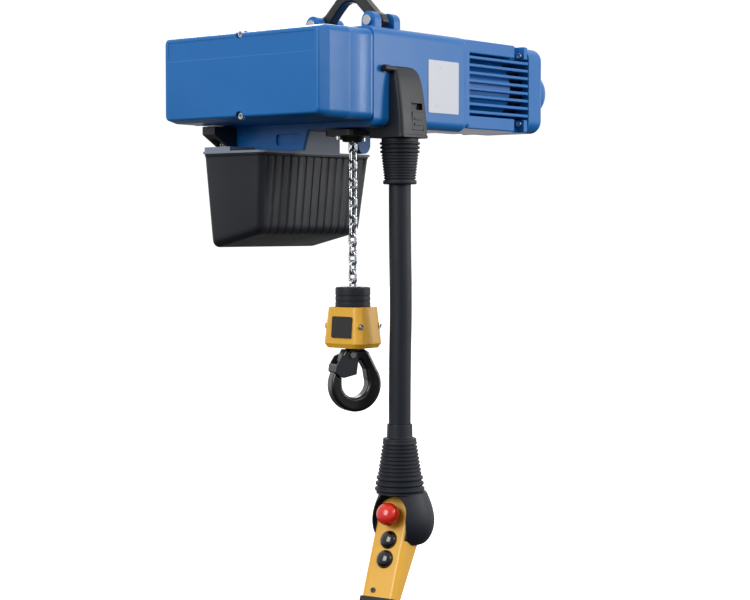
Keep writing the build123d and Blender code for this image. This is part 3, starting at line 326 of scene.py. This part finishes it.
def flowing(points, steps=6):
    """A smooth curve through (radius, height) points."""
    ends = [points[0], *points, points[-1]]
    curve = []
    for a, b, c, d in zip(ends, ends[1:], ends[2:], ends[3:]):
        for k in range(steps):
            t = k / steps
            curve.append(tuple(
                0.5 * (2 * q + (r - p) * t + (2 * p - 5 * q + 4 * r - u) * t * t
                       + (3 * q - p - 3 * r + u) * t**3)
                for p, q, r, u in zip(a, b, c, d)))
    return curve + [points[-1]]


def smoothed(mesh):
    """Smooth shading with the sharp edges kept sharp."""
    mesh.shade_smooth()
    mesh.set_sharp_from_angle(angle=SHARP_ANGLE)


def placed(name, shape, matrix=None):
    """Turns a bmesh in millimetres into an object in the scene."""
    bmesh.ops.remove_doubles(shape, verts=shape.verts, dist=SAME_POINT)
    bmesh.ops.recalc_face_normals(shape, faces=shape.faces)
    mesh = bpy.data.meshes.new(name)
    shape.to_mesh(mesh)
    shape.free()
    mesh.transform(Matrix.Scale(MM, 4) @ (matrix or Matrix()))
    smoothed(mesh)
    thing = bpy.data.objects.new(name, mesh)
    bpy.context.scene.collection.objects.link(thing)
    return thing


def finished(name, shape, slot, body, node, matrix=None):
    """A piece on a body that stands for a CAD node, in its slot's material."""
    piece = placed(name, shape, matrix)
    piece.data.materials.append(MATERIALS[slot])
    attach(piece, body)
    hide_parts(node)
    return piece


def turned(profile, segments=72, centre=(0, 0)):
    """A bmesh of revolution about the vertical through centre."""
    shape = bmesh.new()
    rings = []
    for radius, height in profile:
        count = segments if radius > 1e-5 else 1
        rings.append([
            shape.verts.new((centre[0] + radius * math.cos(math.tau * k / segments),
                             centre[1] + radius * math.sin(math.tau * k / segments), height))
            for k in range(count)
        ])
    for lower, upper in zip(rings, rings[1:]):
        for k in range(segments):
            corners = [lower[k % len(lower)], lower[(k + 1) % segments % len(lower)],
                       upper[(k + 1) % segments % len(upper)], upper[k % len(upper)]]
            corners = list(dict.fromkeys(corners))
            if len(corners) > 2:
                shape.faces.new(corners)
    return shape


def rounded_outline(y0, y1, z0, z1, radius, steps=9):
    """Points round a rectangle with round corners, in (Y, Z)."""
    centres = [(y1 - radius, z1 - radius, 0), (y0 + radius, z1 - radius, 90),
               (y0 + radius, z0 + radius, 180), (y1 - radius, z0 + radius, 270)]
    points = []
    for cy, cz, start in centres:
        for k in range(steps):
            a = math.radians(start + 90 * k / (steps - 1))
            points.append((cy + radius * math.cos(a), cz + radius * math.sin(a)))
    return points


def lofted(sections):
    """A closed bmesh through outlines at (x, outline)."""
    shape = bmesh.new()
    rings = [[shape.verts.new((x, y, z)) for y, z in outline] for x, outline in sections]
    for first, second in zip(rings, rings[1:]):
        count = len(first)
        for k in range(count):
            shape.faces.new((first[k], first[(k + 1) % count], second[(k + 1) % count],
                             second[k]))
    shape.faces.new(rings[0][::-1])
    shape.faces.new(rings[-1])
    return shape


def box_shape(x0, x1, y0, y1, z0, z1):
    """A bmesh of a block between two corners."""
    shape = bmesh.new()
    bmesh.ops.create_cube(shape, size=1)
    for v in shape.verts:
        v.co = (x0 + (v.co.x + 0.5) * (x1 - x0), y0 + (v.co.y + 0.5) * (y1 - y0),
                z0 + (v.co.z + 0.5) * (z1 - z0))
    return shape


def combine(piece, operation, shape, matrix=None):
    """Adds a bmesh to a piece, or cuts it out of the piece."""
    cutter = placed("cutter", shape, matrix)
    modifier = piece.modifiers.new("cut", "BOOLEAN")
    modifier.operation = operation
    modifier.solver = "EXACT"
    modifier.object = cutter
    bpy.context.view_layer.update()
    evaluated = piece.evaluated_get(bpy.context.evaluated_depsgraph_get())
    mesh = bpy.data.meshes.new_from_object(evaluated)
    piece.modifiers.clear()
    old, piece.data = piece.data, mesh
    bpy.data.meshes.remove(old)
    smoothed(mesh)
    bpy.data.objects.remove(cutter)


def hardened(piece, width, segments=3, angle=30):
    """Real small bevels on a new piece's edges."""
    bevel = piece.modifiers.new("edges", "BEVEL")
    bevel.width = width * MM
    bevel.segments = segments
    bevel.limit_method = "ANGLE"
    bevel.angle_limit = math.radians(angle)
    bevel.harden_normals = True


# ---------------------------------------------------------------- electrics cover
COVER = {"x": (-146.7, -47.0), "y": (-75.0, 207.0), "z": (-158.7, -41.8)}
COVER_WALL = 3.2
COVER_DRAFT = 1.0                   # how far the walls stand inside the seam's flange
COVER_CORNER = 11.0
COVER_BAND = 16.0                   # the slanted band round the face
COVER_RIDGE_X = -92.6
COVER_STEP_SHARE = 0.30             # the face's step line, from the top
COVER_STEP_DEPTH = 0.7
COVER_SCREW_Y = 66.0
COVER_SCREW_INSET = 6.5
COVER_NOTCH_DEPTH = 8.0
COVER_NOTCH_RADIUS = 6.0
COVER_BOSS_HALF = 9.5
COVER_SHANK_RADIUS = 2.6


def cover_section(x, inset):
    """The cover's outline at X, a little inside its widest outline."""
    (y0, y1), (z0, z1) = COVER["y"], COVER["z"]
    return x, rounded_outline(y0 + inset, y1 - inset, z0 + inset, z1 - inset,
                              COVER_CORNER - min(inset, 5))


def make_cover():
    """The hollow cover: face, band, ridge and flange, then its step and screw notches."""
    x0, x1 = COVER["x"]
    wall = COVER_DRAFT + COVER_WALL
    sections = [cover_section(x, inset) for x, inset in (
        (x0, 7.6), (x0 + 0.25, 6.7), (x0 + 0.9, 5.8), (x0 + 1.9, 5.1), (x0 + 3.2, 4.7),
        (x0 + COVER_BAND - 1.5, 2.1), (x0 + COVER_BAND, 1.7), (x0 + COVER_BAND + 1.6, 1.35),
        (COVER_RIDGE_X - 2.2, COVER_DRAFT), (COVER_RIDGE_X - 0.8, COVER_DRAFT - 0.45),
        (COVER_RIDGE_X + 0.8, COVER_DRAFT - 0.45), (COVER_RIDGE_X + 2.2, COVER_DRAFT),
        (x1 - 8, COVER_DRAFT - 0.1), (x1 - 6.5, 0.3), (x1 - 4.5, 0.0), (x1 - 1.6, 0.0),
        (x1 - 0.5, 0.4), (x1 - 0.1, 1.2), (x1 - 0.1, wall), (x0 + 18, wall + 1.5),
        (x0 + COVER_WALL, wall + 7))]
    cover = finished("cover_shell", lofted(sections), "blue_paint", "hoist",
                     "electrics_cover")
    (y0, y1), (z0, z1) = COVER["y"], COVER["z"]
    step_z = z1 - COVER_STEP_SHARE * (z1 - z0)
    combine(cover, "DIFFERENCE", box_shape(
        x0 - 5, x0 + COVER_STEP_DEPTH, y0 + 12, y1 - 12, step_z, z1 - 10))
    for z, side in ((z1 - COVER_SCREW_INSET, 1), (z0 + COVER_SCREW_INSET, -1)):
        notch_x = x0 + COVER_NOTCH_DEPTH
        edge = z1 if side > 0 else z0
        turn = Matrix.Translation((0, COVER_SCREW_Y, z)) @ ALONG_X
        low, high = sorted((edge - 3.6 * side, edge - 17 * side))
        combine(cover, "UNION", box_shape(
            x0 + 5.2, notch_x + 3, COVER_SCREW_Y - COVER_BOSS_HALF,
            COVER_SCREW_Y + COVER_BOSS_HALF, low, high))
        hole = turned([(0, x0 - 4), (COVER_NOTCH_RADIUS, x0 - 4),
                       (COVER_NOTCH_RADIUS, notch_x), (0, notch_x)], 40)
        combine(cover, "DIFFERENCE", hole, turn)
        low, high = sorted((z, edge + 3 * side))
        combine(cover, "DIFFERENCE", box_shape(
            x0 - 4, notch_x, COVER_SCREW_Y - COVER_NOTCH_RADIUS,
            COVER_SCREW_Y + COVER_NOTCH_RADIUS, low, high))
        shank = turned([(0, x0), (COVER_SHANK_RADIUS, x0),
                        (COVER_SHANK_RADIUS, notch_x + 6), (0, notch_x + 6)], 24)
        combine(cover, "DIFFERENCE", shank, turn)
    hardened(cover, 0.5)


# ---------------------------------------------------------------- chain store
STORE_TOP = -197.0
STORE_HALF_LENGTH = 112
STORE_NEAR_Y = 61
STORE_FAR_Y = 170
STORE_TAPER = (9, 11, 6)            # how far the ends, near and far face lean in at the foot
STORE_CORNER = 12
STORE_FLOOR = (-301.5, 70, 0.235)   # its Z at a Y, and its fall per millimetre to the back
STORE_FACE_STEPS = 192
STORE_RIB_PITCH = 15.0
STORE_RIB_SPAN = 6.6                # ribs to each side of the middle
STORE_GROOVE = (4.2, 1.3)           # width, depth
STORE_GROOVE_SIDE = 0.8
STORE_FOOT_ROUND = 9.0
STORE_LIP = 0.8                     # how far the walls stand inside the rim


def store_groove(x):
    """How deep the near face lies at X: narrow grooves between flat ribs."""
    if abs(x) > STORE_RIB_SPAN * STORE_RIB_PITCH:
        return 0.0
    width, depth = STORE_GROOVE
    off = abs((x / STORE_RIB_PITCH) % 1 - 0.5) * STORE_RIB_PITCH
    return depth * max(0.0, min(1.0, (width / 2 - off) / STORE_GROOVE_SIDE + 0.5))


def store_ring(share, inset, grooves=1.0):
    """Points round the store at a share of its height, floor sloping to the back."""
    ends_lean, near_lean, far_lean = STORE_TAPER
    half = STORE_HALF_LENGTH - ends_lean * share - inset
    near = STORE_NEAR_Y + near_lean * share + inset
    far = STORE_FAR_Y - far_lean * share - inset
    corner = max(1.0, STORE_CORNER - inset)
    flat = []
    for k in range(STORE_FACE_STEPS + 1):
        x = -half + corner + 2 * (half - corner) * k / STORE_FACE_STEPS
        flat.append((x, near + grooves * store_groove(x)))
    centres = [(half - corner, near + corner, -90), (half - corner, far - corner, 0),
               (corner - half, far - corner, 90), (corner - half, near + corner, 180)]
    for cx, cy, start in centres:
        for k in range(1, 9):
            a = math.radians(start + 90 * k / 9)
            flat.append((cx + corner * math.cos(a), cy + corner * math.sin(a)))
    floor_z, floor_y, slope = STORE_FLOOR
    return [(x, y, STORE_TOP + share * (floor_z - slope * (y - floor_y) - STORE_TOP))
            for x, y in flat]


def make_store():
    """The store's rim, ribbed walls, round foot and inside, open at the top."""
    rings = [store_ring(0, 0, 0), store_ring(0.022, 0, 0), store_ring(0.03, 0.7, 0)]
    rings += [store_ring(share, STORE_LIP) for share in (0.045, 0.3, 0.6, 0.88)]
    for k in range(1, 8):
        a = math.radians(90 * k / 7)
        rings.append(store_ring(0.905 + 0.09 * math.sin(a),
                                STORE_LIP + STORE_FOOT_ROUND * (1 - math.cos(a))))
    rings = rings[::-1] + [store_ring(0, 4, 0), store_ring(0.9, 5, 0)]
    shape = bmesh.new()
    rows = [[shape.verts.new(point) for point in ring] for ring in rings]
    for first, second in zip(rows, rows[1:]):
        for k in range(len(first)):
            shape.faces.new((first[k - 1], first[k], second[k], second[k - 1]))
    shape.faces.new(rows[0])
    shape.faces.new(rows[-1])
    finished("store_shell", shape, "black_plastic", "hoist", "chain_box")


# ---------------------------------------------------------------- control plug
PLUG_SECTIONS = [                   # (Z, left X, right X, front Y, back Y)
    (-87.4, -7, 22, -78.4, -74.6), (-88.4, -11, 26.5, -80.4, -74.6),
    (-91.5, -14.5, 31, -83.4, -74.6), (-97, -16, 34, -86.6, -74.6),
    (-106, -16.6, 36, -89.4, -74.6), (-118, -17, 37.4, -91.6, -74.6),
    (-132, -17, 38.4, -93.6, -74.6), (-148, -17, 39.2, -95.4, -74.6),
    (-158, -17, 39.6, -96.2, -72), (-165.6, -17, 39.8, -96.6, -58),
    (-166.2, -17, 39.8, -96.6, -43.2), (-174.8, -17, 39.8, -96.6, -43.2),
    (-175.4, -17, 40.8, -97.3, -43.2), (-178.4, -17, 40.8, -97.3, -43.2),
    (-179, -16.4, 40.2, -96.7, -43.6)]
UPRIGHT = Matrix(((0, 1, 0, 0), (0, 0, 1, 0), (-1, 0, 0, 0), (0, 0, 0, 1)))  # a loft's X to -Z
PLUG_ARM_PLACE = (0, -79.6, -91.5)


def plug_outline(x0, x1, y0, y1):
    """The plug's outline, flat at its back and round at its front corners."""
    middle = (x0 + x1) / 2
    deep = y1 - y0
    return rounded([(middle, y1), (x1, y1, 0.4), (x1, y0, min(9, 0.8 * deep)),
                    (x0, y0, min(6, 0.6 * deep)), (x0, y1, 0.4), (middle - 1, y1)], 6)


def make_connector():
    """The plug with its locking arm, finger dent and the pocket for its latch."""
    sections = [(-z, plug_outline(x0, x1, y0, y1)) for z, x0, x1, y0, y1 in PLUG_SECTIONS]
    plug = finished("plug_shell", lofted(sections), "black_plastic", "hoist", "connector",
                    UPRIGHT)
    arm = turned(rounded([(0, -33), (4.5, -33, 1.2), (4.5, -24, 0.4), (3.6, -23.4, 0.4),
                          (3.6, -10), (0, -10)]), 32)
    combine(plug, "UNION", arm, Matrix.Translation(PLUG_ARM_PLACE) @ ALONG_X)
    combine(plug, "DIFFERENCE", box_shape(5, 28, -110, -88.5, -143, -134.5))
    combine(plug, "DIFFERENCE", box_shape(4.7, 28.3, -110, -90.2, -169.3, -145.7))
    hardened(plug, 0.7)


# ---------------------------------------------------------------- boots and buffer
CABLE_PLACE = (12.0, -70.0)
NECK_RADIUS = 14.7                  # inside the boots, round the cable
FINE_TURN = 96                      # segments of the large turned pieces
PENDANT_ORIGIN = (-3.0, -71.2, -670.5)
PENDANT_HEADING = 8                 # degrees about the vertical
PENDANT_LEAN = 22                   # degrees the handle's foot swings towards -X
HOOD_OPENING_HALF = 26.7            # half the pendant's width, and 0.7 of room
HOOD_TOP, HOOD_FOOT = -639.2, -707.8


def ringed(top_radius, foot_radius, top, foot, rings, depth):
    """Profile corners of a ringed, tapering boot, from its top down."""
    corners = []
    pitch = (top - foot) / rings
    soft = min(0.3 * pitch, 0.5 * depth)
    for k in range(rings):
        z = top - k * pitch
        radius = top_radius + (foot_radius - top_radius) * (k + 0.5) / rings
        corners += [(radius, z - 0.08 * pitch, soft), (radius, z - 0.55 * pitch, soft),
                    (radius - depth, z - 0.66 * pitch, soft),
                    (radius - depth, z - 0.97 * pitch, soft)]
    return corners


def make_connector_boot():
    """The plug's boot: a collar, three wide rings, nine narrow ones and a lip."""
    corners = [(0, -179.1), (24, -179.1, 0.8), (24, -183.9, 0.5)]
    corners += ringed(26.5, 25.6, -184, -200, 3, 2.6)
    corners += ringed(24.4, 20.6, -200, -233, 9, 1.4)
    corners += [(21.2, -233, 0.8), (22, -235.5, 1.5), (21.6, -238.4, 1.2), (15.2, -238.4, 0.6),
                (NECK_RADIUS, -236), (0, -236)]
    finished("plug_boot", turned(rounded(corners), FINE_TURN, CABLE_PLACE), "black_rubber",
             "hoist", "connector_boot")


def pendant_matrix():
    """The pendant's own frame: +X into its body, +Z up its handle."""
    return (Matrix.Translation(PENDANT_ORIGIN)
            @ Matrix.Rotation(math.radians(PENDANT_HEADING), 4, "Z")
            @ Matrix.Rotation(math.radians(PENDANT_LEAN), 4, "Y"))


PENDANT = pendant_matrix()


def pendant_hull(grow):
    """A convex cutter round the two pendant shells, a little larger than they are."""
    shape = bmesh.new()
    for node in ("pendant_front_shell", "pendant_rear_shell"):
        shape.from_mesh(NODES[node].data)
    bmesh.ops.scale(shape, vec=(1 / MM, 1 / MM, 1 / MM), verts=shape.verts)
    hull = bmesh.ops.convex_hull(shape, input=shape.verts)
    unused = [v for v in shape.verts if not any(f in hull["geom"] for f in v.link_faces)]
    kept = {g for g in hull["geom"] if isinstance(g, bmesh.types.BMFace)}
    bmesh.ops.delete(shape, geom=[f for f in shape.faces if f not in kept], context="FACES")
    bmesh.ops.delete(shape, geom=[v for v in unused if v.is_valid], context="VERTS")
    middle = sum((v.co for v in shape.verts), Vector()) / len(shape.verts)
    for v in shape.verts:
        v.co += (v.co - middle).normalized() * grow
    return shape


def make_pendant_boot():
    """The ringed sleeve under the cable, and the hood over the pendant's head."""
    corners = [(0, -552.5), (NECK_RADIUS, -552.5), (NECK_RADIUS, -550.3, 0.5), (16.5, -550.3, 1.0),
               (16.9, -567.5, 1.5), (22, -569, 1.2), (22, -573.6, 0.8)]
    corners += ringed(22.2, 29.0, -573.8, -618, 9, 1.2)
    corners += ringed(30.0, 33.2, -618, -640, 3, 2.0)
    corners += [(31, -641, 0.5), (0, -641)]
    finished("pendant_boot_sleeve", turned(rounded(corners), FINE_TURN, CABLE_PLACE),
             "black_rubber", "hoist", "pendant_boot")
    x, y = CABLE_PLACE
    profile = flowing([(30.5, HOOD_TOP), (33.6, -646), (37.6, -657), (40.2, -668),
                       (40.9, -678), (39.2, -689), (34.5, -699.5), (28, -706),
                       (21, HOOD_FOOT)])
    closed = [(0, HOOD_TOP)] + profile + [(0, HOOD_FOOT)]
    hood = finished("pendant_hood", turned(closed, FINE_TURN, (x + 5, y - 2)), "black_rubber",
                    "hoist", "pendant_boot")
    # The hood hugs the shell's front face, round at the top
    half = HOOD_OPENING_HALF
    crown = turned([(0, -80), (half, -80), (half, 1.2), (0, 1.2)], 72)
    combine(hood, "DIFFERENCE", crown, PENDANT @ ALONG_X)
    combine(hood, "DIFFERENCE", box_shape(-80, 1.2, -half, half, -95, 0), PENDANT)
    combine(hood, "DIFFERENCE", pendant_hull(0.15))
    hardened(hood, 1.2, 4, 40)


def make_buffer():
    """The buffer with two fine grooves, open round the chain."""
    foot, top, radius, bore = -398.9, -373.0, 23.3, 9.2
    corners = [(bore, foot), (radius, foot, 0.8)]
    for groove in (-391.5, -384.5):
        corners += [(radius, groove - 0.9, 0.3), (radius - 0.7, groove - 0.5, 0.3),
                    (radius - 0.7, groove + 0.5, 0.3), (radius, groove + 0.9, 0.3)]
    corners += [(radius, top, 2.0), (12.5, top, 1.2), (11, top - 1.2, 0.8), (bore, top - 3),
                (bore, foot)]
    finished("rubber_buffer", turned(rounded(corners), FINE_TURN), "black_rubber",
             "hook_block", "buffer")


# ---------------------------------------------------------------- pendant buttons
BUTTON_RADIUS = 11.8
BUTTON_CROWN = (1.9, 4.8)           # where the dome starts, and its rise
STOP_RADIUS = 14.8
STOP_CROWN = (6.2, 8.1)
STOP_SCALLOPS = 12
STOP_PLACE = (-12.5, 0, 0)
DOME_STEPS = 14
PRESS = Matrix.Rotation(-math.pi / 2, 4, "Y")   # a button's own +Z points out of the pendant


def dome(radius, crown):
    """Profile points from a dome's rim to its top."""
    start, rise = crown
    angles = [math.radians(90 * k / DOME_STEPS) for k in range(1, DOME_STEPS)]
    return [(radius * math.cos(a), start + rise * math.sin(a)) for a in angles] + [
        (0, start + rise)]


def make_push_button(name, z, body, node):
    """A domed button in its collar, at Z on the pendant."""
    corners = [(0, -6.4), (BUTTON_RADIUS + 0.7, -6.4, 0.3), (BUTTON_RADIUS + 0.7, -3.3, 0.3),
               (BUTTON_RADIUS - 0.1, -3.2), (BUTTON_RADIUS - 0.1, 1.6, 0.4),
               (BUTTON_RADIUS - 0.9, 1.9, 0.3)]
    profile = rounded(corners) + dome(BUTTON_RADIUS - 0.9, BUTTON_CROWN)
    finished(name, turned(profile, 64), "button_black", body, node,
             PENDANT @ Matrix.Translation((0, 0, z)) @ PRESS)


def make_stop_button():
    """The mushroom head of the stop button."""
    corners = [(3.9, -5.9), (STOP_RADIUS - 3, -5.9, 0.6), (STOP_RADIUS - 0.6, -4.6, 1.0),
               (STOP_RADIUS, -2.2, 1.2), (STOP_RADIUS, 4.0, 1.8),
               (STOP_RADIUS - 0.8, 6.0, 1.5)]
    shape = turned(rounded(corners) + dome(STOP_RADIUS - 0.9, STOP_CROWN), FINE_TURN)
    # Shallow finger scallops round the rim
    for v in shape.verts:
        radius = math.hypot(v.co.x, v.co.y)
        if radius > STOP_RADIUS - 0.9 and v.co.z < 5.4:
            turn = math.atan2(v.co.y, v.co.x)
            pull = 1 - 0.022 * max(0, math.cos(turn * STOP_SCALLOPS)) ** 2
            v.co.x *= pull
            v.co.y *= pull
    finished("stop_mushroom", shape, "red_plastic", "stop_head", "stop_cap",
             PENDANT @ Matrix.Translation(STOP_PLACE) @ PRESS)


make_cover()
make_store()
make_connector()
make_connector_boot()
make_pendant_boot()
make_buffer()
make_push_button("up_push_button", -30.5, "up", "up_button")
make_push_button("down_push_button", -56.0, "down", "down_button")
make_stop_button()


# ---------------------------------------------------------------- floor and light
FLOOR_GAP = 0.06
FLOOR_RADIUS = 14
FLOOR_GLOW = 0.75
LIGHT_AIM = Vector((0.05, 0.0, -0.3))


def make_floor():
    """A pale, softly glowing floor just under the object."""
    mesh = bpy.data.meshes.new("studio_floor")
    shape = bmesh.new()
    bmesh.ops.create_circle(shape, cap_ends=True, segments=96, radius=FLOOR_RADIUS)
    shape.to_mesh(mesh)
    shape.free()
    floor = bpy.data.objects.new("studio_floor", mesh)
    floor.location = (0, 0, cad_box[0].z - FLOOR_GAP)
    bpy.context.scene.collection.objects.link(floor)
    material = bpy.data.materials.new("pale_floor")
    material.use_nodes = True
    paint = material.node_tree.nodes["Principled BSDF"]
    paint.inputs["Base Color"].default_value = (0.92, 0.92, 0.92, 1)
    paint.inputs["Roughness"].default_value = 0.8
    paint.inputs["Emission Color"].default_value = (1, 1, 1, 1)
    paint.inputs["Emission Strength"].default_value = FLOOR_GLOW
    floor.data.materials.append(material)
    floor.visible_diffuse = floor.visible_glossy = False


def area_light(name, place, size, power):
    """A soft rectangular lamp turned to the object."""
    lamp = bpy.data.lights.new(name, "AREA")
    lamp.shape = "RECTANGLE"
    lamp.size, lamp.size_y = size
    lamp.energy = power
    light = bpy.data.objects.new(name, lamp)
    bpy.context.scene.collection.objects.link(light)
    light.location = place
    light.rotation_euler = (LIGHT_AIM - Vector(place)).to_track_quat("-Z", "Y").to_euler()


def make_world():
    """A pale room, brightest behind the object and overhead, dimmer on its cover's side."""
    world = bpy.data.worlds.new("studio")
    bpy.context.scene.world = world
    world.use_nodes = True
    tree = world.node_tree
    back = tree.nodes["Background"]
    place = tree.nodes.new("ShaderNodeTexCoord")
    dot = tree.nodes.new("ShaderNodeVectorMath")
    dot.operation = "DOT_PRODUCT"
    heading = math.radians(CAMERA_HEADING)
    dot.inputs[1].default_value = (math.cos(heading), math.sin(heading), 0.25)
    tree.links.new(place.outputs["Generated"], dot.inputs[0])
    ramp = tree.nodes.new("ShaderNodeMapRange")
    ramp.inputs["From Min"].default_value = -0.6
    ramp.inputs["From Max"].default_value = 0.75
    ramp.inputs["To Min"].default_value = 0.38
    ramp.inputs["To Max"].default_value = 1.1
    tree.links.new(dot.outputs["Value"], ramp.inputs["Value"])
    # Dim below the horizon, so that undersides fall into shade
    height = tree.nodes.new("ShaderNodeSeparateXYZ")
    tree.links.new(place.outputs["Generated"], height.inputs["Vector"])
    below = tree.nodes.new("ShaderNodeMapRange")
    below.inputs["From Min"].default_value = -0.35
    below.inputs["From Max"].default_value = -0.08
    below.inputs["To Min"].default_value = 0.10
    tree.links.new(height.outputs["Z"], below.inputs["Value"])
    product = tree.nodes.new("ShaderNodeMath")
    product.operation = "MULTIPLY"
    tree.links.new(ramp.outputs["Result"], product.inputs[0])
    tree.links.new(below.outputs["Result"], product.inputs[1])
    back.inputs["Color"].default_value = (1, 1, 1, 1)
    tree.links.new(product.outputs["Value"], back.inputs["Strength"])


make_floor()
make_world()
area_light("key", (-0.1, -2.7, 0.9), (1.6, 1.2), 20)
area_light("sheen", (1.22, -1.52, 0.08), (0.4, 1.0), 15)
area_light("fill", (-2.7, 0.2, 0.8), (1.4, 1.6), 46)
area_light("rim", (1.8, 1.9, 1.2), (1.0, 1.0), 18)
bpy.context.scene.view_settings.view_transform = "Standard"
